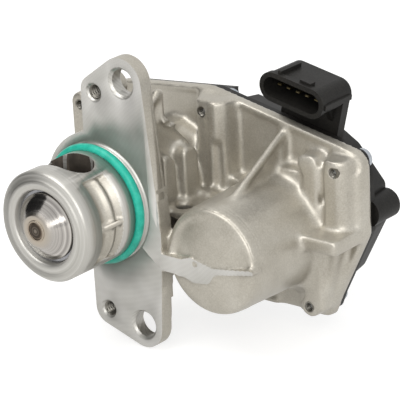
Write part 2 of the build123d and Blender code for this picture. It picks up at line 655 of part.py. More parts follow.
def valve_head():
    """Poppet head: convex cone in front, bevel towards the seat behind, hub on the stem."""
    gap = SEAT_CLEARANCE * math.sqrt(2)
    rim_back = HEAD_RIM_Y + HEAD_RIM_T
    bevel_end = SEAT_FRONT + (SEAT_MOUTH_R - 9.2) - gap
    bore = STEM_R + SEAT_GAP
    return turned([
        (bore, HEAD_TIP_Y), (HEAD_TIP_R, HEAD_TIP_Y), (HEAD_TIP_R + 0.5, HEAD_TIP_Y + 0.25), (HEAD_R - 0.5, HEAD_RIM_Y),
        (HEAD_R, HEAD_RIM_Y + 0.3), (HEAD_R, rim_back), (SEAT_MOUTH_R - gap, rim_back), (9.2, bevel_end),
        (7.0, bevel_end + 0.6), (HEAD_BACK_R, bevel_end + 2.0), (HEAD_BACK_R, HEAD_BACK_Y), (bore, HEAD_BACK_Y),
    ])


def valve_stem():
    """Ground stem, its front end closed by the weld, with a clip groove and the cross hole."""
    groove_y = RETAINER_Y + RETAINER_T
    body = turned([
        (0, STEM_FRONT), (2.2, STEM_FRONT), (WELD_R - 1.0, STEM_FRONT + 0.1), (STEM_R, HEAD_TIP_Y + 0.05),
        (STEM_R, groove_y), (STEM_R - CLIP_GROOVE, groove_y), (STEM_R - CLIP_GROOVE, groove_y + CLIP_T),
        (STEM_R, groove_y + CLIP_T), (STEM_R, STEM_BACK - 0.5), (STEM_R - 0.5, STEM_BACK), (0, STEM_BACK),
    ])
    return body - Pos(0, PIN_Y, 0) * Cylinder(PIN_R, 4 * STEM_R)


def stem_guide():
    """Guide bush with a chamfered mouth at both ends and grease grooves in its bore."""
    inner = STEM_R + RUN_GAP
    profile = [(inner + 0.5, GUIDE_FRONT - 1.6), (GUIDE_R - 1.2, GUIDE_FRONT - 1.6), (GUIDE_R, GUIDE_FRONT - 0.6),
               (GUIDE_R, GUIDE_BACK), (inner + 0.5, GUIDE_BACK), (inner, GUIDE_BACK - 0.5)]
    for y in (2.0, -4.0):
        profile += [(inner, y), (inner + 0.5, y - 0.5), (inner + 0.5, y - 1.5), (inner, y - 2.0)]
    profile.append((inner, GUIDE_FRONT - 1.1))
    return turned(profile)


def stem_seal():
    """Lip seal: outer case, web and two lips that graze the stem."""
    back = GUIDE_BACK + SEAL_L
    inner = STEM_R + RUN_GAP
    return turned([
        (SEAL_R, GUIDE_BACK), (SEAL_R, back), (6.4, back), (6.4, GUIDE_BACK + 1.4), (5.0, GUIDE_BACK + 1.4),
        (4.2, back - 0.3), (inner + 0.3, back - 0.3), (inner, back - 0.7), (inner + 0.9, GUIDE_BACK + 1.7),
        (inner + 0.9, GUIDE_BACK + 1.0), (inner, GUIDE_BACK + 0.5), (inner + 0.2, GUIDE_BACK),
    ])


def spring_seat():
    front = GUIDE_BACK + SEAL_L
    lip_r = SPRING_R - SPRING_WIRE / 2 - 0.15
    return turned([
        (4.8, front), (SPRING_CAVITY_R - 0.2, front), (SPRING_CAVITY_R - 0.2, front + SPRING_SEAT_T),
        (lip_r, front + SPRING_SEAT_T), (lip_r - 0.4, front + SPRING_SEAT_T + 1.0), (lip_r - 1.2, front + SPRING_SEAT_T + 1.0),
        (4.8, front + SPRING_SEAT_T),
    ])


def return_spring():
    """Compression spring, drawn at its length with the valve shut."""
    wire_r = SPRING_WIRE / 2
    front = GUIDE_BACK + SEAL_L + SPRING_SEAT_T + wire_r + 0.02
    back = RETAINER_Y - wire_r - 0.02
    path = Helix(pitch=(back - front) / SPRING_TURNS, height=back - front, radius=SPRING_R)
    section = Plane(origin=path @ 0, z_dir=path % 0) * Circle(wire_r)
    coil = sweep(section, path=path, is_frenet=True)
    return Pos(0, front, 0) * (Rot(-90, 0, 0) * coil)


def spring_retainer():
    """Dished washer that the spring pushes against the clip."""
    back = RETAINER_Y + RETAINER_T
    step_r = SPRING_R - SPRING_WIRE / 2 - 0.15
    return turned([
        (STEM_R + 0.02, RETAINER_Y - 1.4), (step_r - 0.4, RETAINER_Y - 1.4), (step_r, RETAINER_Y - 1.0), (step_r, RETAINER_Y),
        (RETAINER_R, RETAINER_Y), (RETAINER_R, RETAINER_Y + 1.0), (step_r, back), (STEM_R + 0.02, back),
    ])


def retainer_clip():
    """Open ring that snaps into the groove of the stem."""
    front = RETAINER_Y + RETAINER_T
    ring = tube(CLIP_R, STEM_R - CLIP_GROOVE, front, front + CLIP_T)
    return ring - block((0, 2 * CLIP_R), (front - 1, front + 2), (-1.6, 1.6))


def cross_pin():
    """Pin through the stem, its ends guided in the tracks of the neck."""
    pin = Cylinder(PIN_R, 2 * PIN_REACH)
    return Pos(0, PIN_Y, 0) * chamfer(pin.edges().filter_by(GeomType.CIRCLE), 0.3)


def roller(side):
    """Roller on the cross pin, inside one helical slot of the drum."""
    ring = Cylinder(ROLLER_R, ROLLER_L) - Cylinder(PIN_R + RUN_GAP, 2 * ROLLER_L)
    ring = chamfer(ring.edges().filter_by(GeomType.CIRCLE).filter_by(lambda e: e.radius > PIN_R + 0.5), 0.2)
    return Pos(0, PIN_Y, side * (DRUM_BORE + DRUM_R) / 2) * ring


def cam_slot(side):
    """Helical slot through the drum wall; turning the drum by CAM_TURN moves the roller by LIFT."""
    lead = LIFT * 360.0 / CAM_TURN
    turn = CAM_TURN + 2 * CAM_OVERRUN
    over_y = lead * CAM_OVERRUN / 360.0
    mean_r = (DRUM_BORE + DRUM_R) / 2
    path = Helix(pitch=lead, height=lead * turn / 360.0, radius=mean_r, lefthand=True)
    section = Plane(origin=(mean_r, 0, 0), x_dir=(1, 0, 0), z_dir=(0, -1, 0)) * Rectangle(2 * (DRUM_R - DRUM_BORE), CAM_SLOT_W)
    cut = sweep(section, path=path, is_frenet=True)
    cut = Pos(0, PIN_Y + over_y, 0) * (Rot(90, 0, 0) * (Rot(0, 0, side * 90.0 + CAM_OVERRUN) * cut))
    ends = []
    for angle, y in ((side * 90.0 + CAM_OVERRUN, PIN_Y + over_y), (side * 90.0 - CAM_TURN - CAM_OVERRUN, PIN_Y - LIFT - over_y)):
        x, z = polar(1.0, angle)
        end_plane = Plane(origin=(x * DRUM_BORE * 0.8, y, z * DRUM_BORE * 0.8), z_dir=(x, 0, z))
        ends.append(extrude(end_plane * Circle(CAM_SLOT_END_R), amount=DRUM_R))
    return [cut] + ends


def cam_drum():
    """Steel sleeve with the two helical slots, its closed hub in the bearing and flats for the gear."""
    body = turned([
        (DRUM_BORE, DRUM_FRONT), (DRUM_R, DRUM_FRONT), (DRUM_R, BEARING_FRONT - 1.2), (DRUM_SHOULDER_R, BEARING_FRONT - 0.5),
        (DRUM_SHOULDER_R, BEARING_FRONT), (HUB_R, BEARING_FRONT), (HUB_R, GEAR_FRONT - 0.2), (SPLINE_R, GEAR_FRONT - 0.2),
        (SPLINE_R, SPLINE_BACK), (HUB_HOLLOW_R, SPLINE_BACK), (HUB_HOLLOW_R, HUB_HOLLOW_Y), (0, HUB_HOLLOW_Y - 0.8),
        (0, DRUM_FLOOR), (DRUM_BORE - 1.0, DRUM_FLOOR), (DRUM_BORE, DRUM_FLOOR - 1.0),
    ])
    for side in (1, -1):
        for cut in cam_slot(side):
            body = body - cut
    return body - spline_flats(GEAR_FRONT - 0.2)


def spline_flats(front):
    """Material to take off the drum's end so that it has two flats."""
    low = block((-2 * SPLINE_R, 2 * SPLINE_R), (front, SPLINE_BACK + 1.0), (-2 * SPLINE_R, -SPLINE_FLAT))
    return low + mirror(low, Plane.XY)


# ================================================================ bearing
def race_groove():
    x, _ = polar(BALL_CENTRE_R, 0.0)
    ring = revolve(Pos(x, BEARING_FRONT + BEARING_L / 2) * Circle(BALL_R + RACE_GAP), Axis.Y)
    return ring


def bearing_ring(inner, outer):
    back = BEARING_FRONT + BEARING_L
    edge = 0.4
    body = turned([
        (inner, BEARING_FRONT + edge), (inner + edge, BEARING_FRONT), (outer - edge, BEARING_FRONT),
        (outer, BEARING_FRONT + edge), (outer, back - edge), (outer - edge, back), (inner + edge, back), (inner, back - edge),
    ])
    return body - race_groove()


def bearing_balls():
    balls = []
    for index in range(BALL_COUNT):
        x, z = polar(BALL_CENTRE_R, 360.0 * index / BALL_COUNT)
        balls.append(Pos(x, BEARING_FRONT + BEARING_L / 2, z) * Sphere(BALL_R))
    return Compound(balls)


# ================================================================ gears as bodies
def output_gear():
    """Moulded sector gear: rim of teeth, ribbed web, hub on the drum and cup for the magnet."""
    back = GEAR_FRONT + GEAR_T
    outer = MODULE_LAST * TEETH_OUTPUT / 2 + 3.0
    start = MESH_ANGLE - CAM_TURN - SECTOR_SPARE
    end = MESH_ANGLE + SECTOR_SPARE
    slice_shape = sector(outer, start, end)
    teeth = gear_sketch(MODULE_LAST, TEETH_OUTPUT, 0.0) & slice_shape
    body = slab(teeth, GEAR_FRONT, back)
    web_front, web_back = GEAR_WEB_Y
    hollow = (Circle(GEAR_WEB_R) - Circle(GEAR_HUB_R)) & sector(outer, start + 4.0, end - 4.0)
    body = body - slab(hollow, GEAR_FRONT - 1.0, web_front) - slab(hollow, web_back, back + 1.0)
    for index in range(GEAR_RIBS):
        angle = start + (index + 0.5) * (end - start) / GEAR_RIBS
        bar = Rot(0, 0, angle) * (Pos((GEAR_HUB_R + GEAR_WEB_R) / 2, 0) * Rectangle(GEAR_WEB_R - GEAR_HUB_R + 1.0, 1.2))
        body = body + slab(bar, web_front - 0.5, back)
    hub = rod(GEAR_HUB_R, GEAR_FRONT, back + 0.4) + rod(MAGNET_CUP_R + 1.2, back, MAGNET_Y[0] + 1.2)
    drum_end = rod(SPLINE_R, GEAR_FRONT - 1.0, SPLINE_BACK) - spline_flats(GEAR_FRONT - 1.0)
    return body + hub - drum_end - rod(MAGNET_R, MAGNET_Y[0], MAGNET_Y[1])


def sensor_magnet():
    return rod(MAGNET_R, *MAGNET_Y)


def intermediate_gear():
    """Moulded double gear that turns on the fixed axle."""
    large_back = LARGE_FRONT + LARGE_T
    large = slab(gear_sketch(MODULE_FIRST, TEETH_LARGE, MIDDLE_PHASE), LARGE_FRONT, large_back)
    ring = Circle(LARGE_WEB_R) - Circle(6.4)
    large = large - slab(ring, LARGE_FRONT - 1.0, LARGE_FRONT + 1.0) - slab(ring, large_back - 1.4, large_back + 1.0)
    holes = [rod(1.9, LARGE_FRONT - 1.0, large_back + 1.0, polar(9.5, 60.0 * index)) for index in range(6)]
    small = slab(gear_sketch(MODULE_LAST, TEETH_SMALL, MIDDLE_PHASE), GEAR_FRONT, SMALL_BACK + OVERLAP)
    body = union([large, small]) - rod(AXLE_R + RUN_GAP, GEAR_FRONT - 1.0, large_back + 1.0)
    for hole in holes:
        body = body - hole
    return Pos(MIDDLE[0], 0, MIDDLE[1]) * body


def intermediate_axle():
    bar = rod(AXLE_R, AXLE_FRONT, AXLE_BACK, MIDDLE)
    return chamfer(bar.edges().filter_by(GeomType.CIRCLE), 0.3)


def motor_pinion():
    gear = slab(gear_sketch(MODULE_FIRST, TEETH_MOTOR, MOTOR_PHASE), MOTOR_PINION_FRONT, MOTOR_PINION_BACK)
    return Pos(MOTOR_X, 0, MOTOR_Z) * (gear - rod(SHAFT_R, MOTOR_PINION_FRONT - 1.0, MOTOR_PINION_BACK + 1.0))


# ================================================================ motor
def motor_case():
    """Drawn steel cup with the neck of the front bearing."""
    neck_front = MOTOR_FRONT
    step = neck_front + MOTOR_NECK_L
    inner = MOTOR_R - MOTOR_SKIN
    return turned([
        (0, neck_front), (MOTOR_NECK_R, neck_front), (MOTOR_NECK_R, step), (MOTOR_R - 1.6, step), (MOTOR_R, step + 1.6),
        (MOTOR_R, MOTOR_BACK), (inner, MOTOR_BACK), (inner, step + 2.2), (inner - 1.0, step + MOTOR_SKIN),
        (BUSH_R, step + MOTOR_SKIN), (BUSH_R, neck_front + MOTOR_SKIN), (0, neck_front + MOTOR_SKIN),
    ], MOTOR)


def motor_magnets():
    """Two arc magnets against the inside of the case."""
    outer = MOTOR_R - MOTOR_SKIN - SEAT_GAP
    ring = Circle(outer) - Circle(outer - MAGNET_SHELL)
    arcs = []
    for middle in (90.0, 270.0):
        shape = ring & sector(outer, middle - MAGNET_SPAN, middle + MAGNET_SPAN)
        arcs.append(Pos(MOTOR_X, 0, MOTOR_Z) * slab(shape, ARMATURE_Y[0] - 1.0, ARMATURE_Y[1] + 1.0))
    return Compound(arcs)


def armature_sketch():
    """Lamination with legs and shoes."""
    sketch = Circle(ARMATURE_CORE_R)
    for index in range(ARMATURE_SLOTS):
        angle = 360.0 * index / ARMATURE_SLOTS
        leg = Pos(ARMATURE_R / 2, 0) * Rectangle(ARMATURE_R, ARMATURE_LEG_W)
        sketch = sketch + Rot(0, 0, angle) * leg
        shoe = (Circle(ARMATURE_R) - Circle(ARMATURE_SHOE_R)) & sector(ARMATURE_R, angle - 31.0, angle + 31.0)
        sketch = sketch + shoe
    return sketch & Circle(ARMATURE_R)


def motor_armature():
    body = slab(armature_sketch() - Circle(SHAFT_R), *ARMATURE_Y)
    return Pos(MOTOR_X, 0, MOTOR_Z) * body


def motor_windings():
    """Copper coil round each leg, with end turns past the laminations."""
    front = ARMATURE_Y[0] - WINDING_END
    back = ARMATURE_Y[1] + WINDING_END
    inner_r = ARMATURE_CORE_R + 0.3
    outer_r = ARMATURE_SHOE_R - 0.2
    width = ARMATURE_LEG_W + 3.6
    coils = []
    for index in range(ARMATURE_SLOTS):
        bar = block((inner_r, outer_r), (front, back), (-width / 2, width / 2))
        leg = block((0, ARMATURE_R), (ARMATURE_Y[0], ARMATURE_Y[1]), (-ARMATURE_LEG_W / 2, ARMATURE_LEG_W / 2))
        coil = fillet(bar.edges().filter_by(Axis.X), 1.2) - leg
        step = 180.0 / ARMATURE_SLOTS
        wedge = slab(sector(ARMATURE_R, -step + 1.5, step - 1.5), front - 1.0, back + 1.0)
        coil = (coil & wedge) & rod(outer_r, front - 1.0, back + 1.0)
        coils.append(Pos(MOTOR_X, 0, MOTOR_Z) * (Rot(0, -index * 2 * step, 0) * coil))
    return Compound(coils)


def motor_commutator():
    front, back = COMMUTATOR_Y
    ring = tube(COMMUTATOR_R, SHAFT_R, front, back) + tube(COMMUTATOR_R + 1.2, SHAFT_R, front, front + 1.2)
    for index in range(ARMATURE_SLOTS):
        angle = 360.0 * (index + 0.5) / ARMATURE_SLOTS
        groove = block((COMMUTATOR_R - 0.7, COMMUTATOR_R + 3.0), (front - 1.0, back + 1.0), (-0.3, 0.3))
        ring = ring - Rot(0, -angle, 0) * groove
    return Pos(MOTOR_X, 0, MOTOR_Z) * ring


def motor_shaft():
    bar = rod(SHAFT_R, SHAFT_FRONT, SHAFT_BACK, MOTOR)
    return chamfer(bar.edges().filter_by(GeomType.CIRCLE), 0.3)


def motor_bushes():
    """Two sintered bushes, one in the case's neck and one in the end cap."""
    front = MOTOR_FRONT + MOTOR_SKIN
    cap_front = MOTOR_BACK - END_CAP_T
    return Compound([tube(BUSH_R, SHAFT_R + RUN_GAP, front, front + BUSH_L, MOTOR),
                     tube(BUSH_R, SHAFT_R + RUN_GAP, cap_front, MOTOR_BACK, MOTOR)])


def motor_end_cap():
    """Moulded cap that closes the case and holds the rear bush and the brush boxes."""
    front = MOTOR_BACK - END_CAP_T
    inner = MOTOR_R - MOTOR_SKIN - SEAT_GAP
    body = rod(inner, front, MOTOR_BACK) + tube(inner, inner - 1.6, front - 3.0, front + OVERLAP)
    for side in (1, -1):
        box = block((COMMUTATOR_R + 1.0, BRUSH_R_OUT + 2.0), (front - 4.8, front + OVERLAP), (-2.2, 2.2))
        body = body + (box if side > 0 else mirror(box, Plane.YZ))
    body = body - rod(BUSH_R, front - 1.0, MOTOR_BACK + 1.0)
    body = Pos(MOTOR_X, 0, MOTOR_Z) * body
    for cut in brush_boxes(0.0):
        body = body - cut
    for x, z in TERMINAL_SPOTS:
        body = body - terminal_bar(x, z)
    return body


def brush_boxes(front_gap):
    """Space of the two brushes, each resting on the commutator."""
    middle = MOTOR_BACK - END_CAP_T - 2.8
    boxes = []
    for side in (1, -1):
        near = COMMUTATOR_R + RUN_GAP + front_gap
        span = (near, BRUSH_R_OUT) if side > 0 else (-BRUSH_R_OUT, -near)
        bar = block(span, (middle - BRUSH_W / 2, middle + BRUSH_W / 2), (-1.2, 1.2))
        boxes.append(Pos(MOTOR_X, 0, MOTOR_Z) * bar)
    return boxes


def motor_brushes():
    return Compound(brush_boxes(0.0))


def terminal_bar(x, z):
    front = MOTOR_BACK - END_CAP_T + 0.8
    bar = block((x - 0.4, x + 0.4), (front, TERMINAL_BACK), (z - 1.2, z + 1.2))
    return Pos(MOTOR_X, 0, MOTOR_Z) * bar


def motor_terminals():
    return Compound([terminal_bar(x, z) for x, z in TERMINAL_SPOTS])


def motor_bracket():
    """Steel plate that closes the can and is screwed to the gearbox floor."""
    disc = Circle(CAN_BORE_R + 1.0)
    ears = [Circle(6.0)]
    for angle in BRACKET_ANGLES:
        ears.append(Pos(*polar(BRACKET_EAR, angle)) * Circle(BRACKET_EAR_R))
    arm = make_hull(ShapeList([edge for ear in ears for edge in ear.edges()]))
    shape = (disc + arm) - Circle(BUSH_R + 0.4)
    axle = Pos(MIDDLE[0] - MOTOR_X, MIDDLE[1] - MOTOR_Z)
    shape = shape - axle * Circle(AXLE_BOSS_R + 0.5)
    for x, z in TERMINAL_SPOTS:
        shape = shape - Pos(x, z) * Rectangle(2.6, 4.2)
    for angle in BRACKET_ANGLES:
        shape = shape - Pos(*polar(BRACKET_EAR, angle)) * Circle(BRACKET_SCREW_R + 0.2)
    return Pos(MOTOR_X, 0, MOTOR_Z) * slab(shape, FLOOR_BACK, FLOOR_BACK + BRACKET_T)


def screw(spot, head_front, head_r, head_t, shank_r, length):
    """Cap screw whose head lies behind its shank, with a hexagon socket."""
    body = rod(head_r, head_front, head_front + head_t, spot) + rod(shank_r, head_front - length, head_front, spot)
    socket = slab(Pos(*spot) * RegularPolygon(head_r * 0.5, 6), head_front + head_t * 0.4, head_front + head_t + 1.0)
    return chamfer(body.edges().filter_by(GeomType.CIRCLE).sort_by(Axis.Y)[-1:], 0.3) - socket


def motor_screws():
    head = FLOOR_BACK + BRACKET_T
    return Compound([screw(bracket_spot(angle), head, 2.4, 1.6, BRACKET_SCREW_R, 5.8) for angle in BRACKET_ANGLES])


def cover_screws():
    head = COVER_FLANGE_BACK
    return Compound([screw(spot, head, SCREW_HEAD_R, SCREW_HEAD_T, SCREW_HOLE_R, 12.0) for spot in SCREW_SPOTS])


def wave_spring():
    """Waved washer between the floor of the can and the front of the motor."""
    return tube(11.0, 8.4, CAN_FLOOR, MOTOR_FRONT + MOTOR_NECK_L, MOTOR)


# ================================================================ cover
def cover_sketch():
    """Outline of the cover's flange, just inside the edge of the plate."""
    corners = list(PLATE_CORNERS)
    corners[4] = COVER_CORNER_R
    return with_ears(offset(rounded(PLATE_OUTLINE, corners), -COVER_INSET), COVER_EAR_R)


DOME_OUTLINE = [
    (-46.6, 13.6), (-22.6, 23.4), (13.4, 27.0), (58.0, 19.2), (64.4, 15.4), (75.2, 3.0), (75.4, -11.0), (65.4, -30.0),
    (56.6, -38.6), (22.0, -40.2), (-5.2, -32.6), (-36.6, -16.6), (-46.6, -5.8),
]
DOME_CORNERS = [5.0, 16.0, 10.0, 5.0, 6.0, 4.0, 6.0, 8.0, 7.0, 8.0, 14.0, 10.0, 6.0]


def dome_sketch(inset):
    shape = rounded(DOME_OUTLINE, DOME_CORNERS)
    if inset > 0:
        shape = offset(shape, -inset)
    return shape


def gasket_path():
    """Flat band just outside the pocket of the gearbox plate."""
    pocket = pocket_sketch()
    return offset(pocket, GASKET_INSET + GASKET_W, kind=Kind.ARC) - offset(pocket, GASKET_INSET, kind=Kind.ARC)


def cover_gasket():
    return slab(gasket_path(), PLATE_BACK, PLATE_BACK + GASKET_T)


def plug_place():
    """Place whose local X runs along the plug and whose local Y runs upwards."""
    return Pos(PLUG_SPOT[0], 0, PLUG_SPOT[1]) * Rot(0, -PLUG_TILT, 0)


def plug_shell():
    """Oval shell of the plug, open to the front, with its keys, tower and foot on the cover."""
    outer = SlotOverall(PLUG_L, PLUG_H)
    body = slab(outer, PLUG_FRONT, PLUG_BACK)
    collar = slab(SlotOverall(PLUG_L + 0.8, PLUG_H + 0.8), PLUG_FRONT, PLUG_FRONT + 2.2)
    body = body + collar
    tower = rounded([(-PLUG_L / 2 + 0.8, 2.0), (PLUG_L / 2 - 0.2, 2.0), (PLUG_L / 2 - 1.6, -24.0), (-PLUG_L / 2 + 0.8, -24.0)],
                    [1.0, 1.0, 1.0, 1.0])
    body = body + slab(tower, *TOWER_Y)
    key = block((-6.9, -5.7), (PLUG_FRONT + 1.0, PLUG_FLOOR), (PLUG_H / 2 - OVERLAP, PLUG_H / 2 + 1.5))
    nub = block((1.6, 6.0), (PLUG_FRONT + 1.6, PLUG_FRONT + 4.2), (PLUG_H / 2 - OVERLAP, PLUG_H / 2 + 1.2))
    side = block((PLUG_L / 2 - OVERLAP, PLUG_L / 2 + 0.9), (PLUG_FRONT + 1.0, PLUG_BACK - 1.0), (-0.9, 0.9))
    foot = web([(PLUG_FRONT + 9.0, -PLUG_H / 2 + OVERLAP), (TOWER_Y[0] + OVERLAP, -PLUG_H / 2 + OVERLAP),
                (TOWER_Y[0] + OVERLAP, -PLUG_H / 2 - 6.0)], 7.4, 9.2)
    body = union([body, key, nub, side, foot])
    hollow = slab(SlotOverall(PLUG_L - 2 * PLUG_WALL, PLUG_H - 2 * PLUG_WALL), PLUG_FRONT - 1.0, PLUG_FLOOR)
    return plug_place() * (body - hollow)


def blade(index):
    """Bent contact blade: forward into the plug, back through its floor, then down into the gearbox."""
    middle = (index - (BLADE_COUNT - 1) / 2) * BLADE_PITCH
    span = (middle - BLADE_W / 2, middle + BLADE_W / 2)
    tip = block(span, (BLADE_FRONT, BLADE_BEND), (-BLADE_T / 2, BLADE_T / 2))
    tip = chamfer(tip.edges().filter_by(Axis.X).sort_by(Axis.Y)[:2], 0.25)
    drop = block(span, (BLADE_BEND - BLADE_T, BLADE_BEND), (-BLADE_DROP, BLADE_T / 2))
    return plug_place() * (tip + drop)


def connector_pins():
    return Compound([blade(index) for index in range(BLADE_COUNT)])


def gearbox_cover():
    """Moulded cover: flange with gasket groove, tapered dome with screw pockets, vent and plug."""
    base = slab(cover_sketch(), PLATE_BACK, COVER_FLANGE_BACK)
    dome = slab(dome_sketch(0.0), COVER_FLANGE_BACK - OVERLAP, DOME_BACK, DOME_TAPER)
    body = base + dome
    for spot in SCREW_SPOTS:
        body = body - rod(SCREW_POCKET_R - 0.6, COVER_FLANGE_BACK, DOME_BACK + 1.0, spot)
    body = body + plug_shell() + rod(VENT_R, PLATE_BACK + 2.0, DOME_BACK, VENT)
    hollow = slab(dome_sketch(DOME_WALL), PLATE_BACK - 1.0, DOME_BACK - DOME_WALL, DOME_TAPER * 0.8)
    for spot in SCREW_SPOTS:
        hollow = hollow - rod(SCREW_POCKET_R + 1.4, PLATE_BACK - 2.0, DOME_BACK + 1.0, spot)
    hollow = hollow & slab(offset(pocket_sketch(), -0.2), PLATE_BACK - 2.0, DOME_BACK + 1.0)
    tip_r = MODULE_LAST * (TEETH_OUTPUT / 2 + ADDENDUM)
    hollow = hollow + rod(tip_r + AIR_GAP, PLATE_BACK - 1.0, GEAR_FRONT + GEAR_T + AIR_GAP)
    body = body - hollow - slab(gasket_path(), PLATE_BACK - 1.0, PLATE_BACK + GASKET_T)
    body = body + tube(3.4, AXLE_R, 54.8, DOME_BACK - DOME_WALL + OVERLAP, MIDDLE)
    for spot in SCREW_SPOTS:
        body = body - rod(SCREW_HOLE_R + 0.15, PLATE_BACK - 1.0, COVER_FLANGE_BACK + 1.0, spot)
    body = body - rod(2.2, DOME_BACK - 3.0, DOME_BACK + 1.0, VENT)
    for index in range(BLADE_COUNT):
        body = body - blade(index)
    return body


def sensor_board():
    """Small board behind the magnet with the sensor on its front."""
    board = block((-13.0, 10.6), (55.2, DOME_BACK - DOME_WALL), (-11.0, 13.0))
    chip = block((-3.2, 3.2), (53.8, 55.2), (-3.2, 3.2))
    return board + chip


def o_ring():
    return revolve(Pos(O_RING_R, GROOVE_Y) * Circle(O_RING_SECTION / 2), Axis.Y)


PARTS = {
    "valve_housing": housing,
    "nose_o_ring": o_ring,
    "valve_seat": seat_ring,
    "valve_head": valve_head,
    "valve_stem": valve_stem,
    "stem_guide": stem_guide,
    "stem_seal": stem_seal,
    "spring_seat": spring_seat,
    "return_spring": return_spring,
    "spring_retainer": spring_retainer,
    "retainer_clip": retainer_clip,
    "cross_pin": cross_pin,
    "upper_roller": lambda: roller(1),
    "lower_roller": lambda: roller(-1),
    "cam_drum": cam_drum,
    "bearing_inner_ring": lambda: bearing_ring(HUB_R, RACE_INNER_R),
    "bearing_outer_ring": lambda: bearing_ring(RACE_OUTER_R, BEARING_R),
    "bearing_balls": bearing_balls,
    "output_gear": output_gear,
    "sensor_magnet": sensor_magnet,
    "sensor_board": sensor_board,
    "intermediate_gear": intermediate_gear,
    "intermediate_axle": intermediate_axle,
    "motor_pinion": motor_pinion,
    "motor_shaft": motor_shaft,
    "motor_armature": motor_armature,
    "motor_windings": motor_windings,
    "motor_commutator": motor_commutator,
    "motor_magnets": motor_magnets,
    "motor_case": motor_case,
    "motor_bushes": motor_bushes,
    "motor_end_cap": motor_end_cap,
    "motor_brushes": motor_brushes,
    "motor_terminals": motor_terminals,
    "motor_bracket": motor_bracket,
    "motor_screws": motor_screws,
    "wave_spring": wave_spring,
    "gearbox_cover": gearbox_cover,
    "cover_gasket": cover_gasket,
    "cover_screws": cover_screws,
    "connector_pins": connector_pins,
}

os.makedirs("parts", exist_ok=True)
for part_name, make in PARTS.items():
    save(part_name, make())
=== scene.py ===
"""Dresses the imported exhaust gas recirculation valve: cast body with turned nose, seals, steel valve and
moulded cover."""

import json
import math

import bmesh
import bpy
import numpy as np
from mathutils import Matrix, Vector


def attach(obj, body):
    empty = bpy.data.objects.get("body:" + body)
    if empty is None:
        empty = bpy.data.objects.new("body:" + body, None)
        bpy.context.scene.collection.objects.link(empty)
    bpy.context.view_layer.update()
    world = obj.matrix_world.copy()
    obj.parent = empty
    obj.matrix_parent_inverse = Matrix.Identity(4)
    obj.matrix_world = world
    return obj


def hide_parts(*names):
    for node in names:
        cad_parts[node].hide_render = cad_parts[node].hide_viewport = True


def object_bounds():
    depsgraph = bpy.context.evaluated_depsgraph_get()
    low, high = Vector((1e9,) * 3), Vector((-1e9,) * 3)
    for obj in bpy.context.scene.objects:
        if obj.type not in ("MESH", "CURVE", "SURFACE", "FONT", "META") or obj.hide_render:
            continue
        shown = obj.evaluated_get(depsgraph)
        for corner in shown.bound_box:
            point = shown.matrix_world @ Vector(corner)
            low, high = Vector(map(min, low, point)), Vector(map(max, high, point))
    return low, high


bl_info = {
    "name": "Exhaust gas recirculation valve",
    "version": (1, 0, 0),
    "blender": (4, 5, 0),
    "location": "3D View > Sidebar > Valve",
    "description": "Builds the visible pieces, materials and studio of an exhaust gas recirculation valve",
    "category": "Object",
}

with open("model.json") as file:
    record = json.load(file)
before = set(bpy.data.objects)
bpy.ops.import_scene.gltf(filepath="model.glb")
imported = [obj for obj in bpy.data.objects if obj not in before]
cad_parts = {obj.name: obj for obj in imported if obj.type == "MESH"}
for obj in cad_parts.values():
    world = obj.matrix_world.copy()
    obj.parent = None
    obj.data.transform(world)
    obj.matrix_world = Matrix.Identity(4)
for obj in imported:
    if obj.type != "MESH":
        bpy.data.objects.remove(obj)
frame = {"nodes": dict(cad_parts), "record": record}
CAD_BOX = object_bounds()
MM = 0.001
TURN = 2.0 * math.pi      # one whole turn, in radians
WELD_WITHIN = 1e-6        # points closer than this, in metres, are made one
SOFTEN_SHARE = 0.6        # share of the way to its neighbours' mean that a point moves in one pass
# two passes of the fly cutter: middle of its circle in metres and pitch of its arcs in mm
CUTTER_PASSES = (((0.046, 0.0, 0.030), 1.1), ((-0.030, 0.0, -0.052), 1.5))
WELD_TINT_TO = 0.0066     # the heat tint round the weld reaches this radius, in metres
TINT_FADE = (-0.0312, -0.0300)      # and fades between these places along Y, in metres


# ---------------------------------------------------------------- small tools
def linear(hex_colour):
    """Turns an sRGB hex colour into the linear RGBA that Blender's sockets take."""
    parts = [int(hex_colour[i:i + 2], 16) / 255.0 for i in (1, 3, 5)]
    return tuple(p / 12.92 if p <= 0.04045 else ((p + 0.055) / 1.055) ** 2.4 for p in parts) + (1.0,)


def add(tree, kind, inputs=None, **settings):
    """Adds one node: settings are its properties, and each of its inputs is given a value or a link."""
    made = tree.nodes.new(kind)
    for key, value in settings.items():
        setattr(made, key, value)
    for key, value in (inputs or {}).items():
        if isinstance(value, bpy.types.NodeSocket):
            tree.links.new(value, made.inputs[key])
        else:
            made.inputs[key].default_value = value
    return made


def ramp(tree, factor, stops):
    """Colour ramp through (position, hex colour) stops."""
    made = add(tree, "ShaderNodeValToRGB", {0: factor})
    elements = made.color_ramp.elements
    while len(elements) < len(stops):
        elements.new(0.5)
    for element, (position, colour) in zip(elements, stops):
        element.position = position
        element.color = linear(colour)
    return made.outputs["Color"]


def span(tree, value, low, high, out_low=0.0, out_high=1.0):
    """Maps a value from one span to another and clamps it there."""
    made = add(tree, "ShaderNodeMapRange", {0: value, 1: low, 2: high, 3: out_low, 4: out_high}, clamp=True)
    return made.outputs[0]


def grain(tree, coords, size_mm, detail, roughness=0.55):
    """Noise whose blotches are about size_mm across."""
    inputs = {"Vector": coords, "Scale": 1.0 / (size_mm * MM), "Detail": detail, "Roughness": roughness}
    return add(tree, "ShaderNodeTexNoise", inputs).outputs["Fac"]


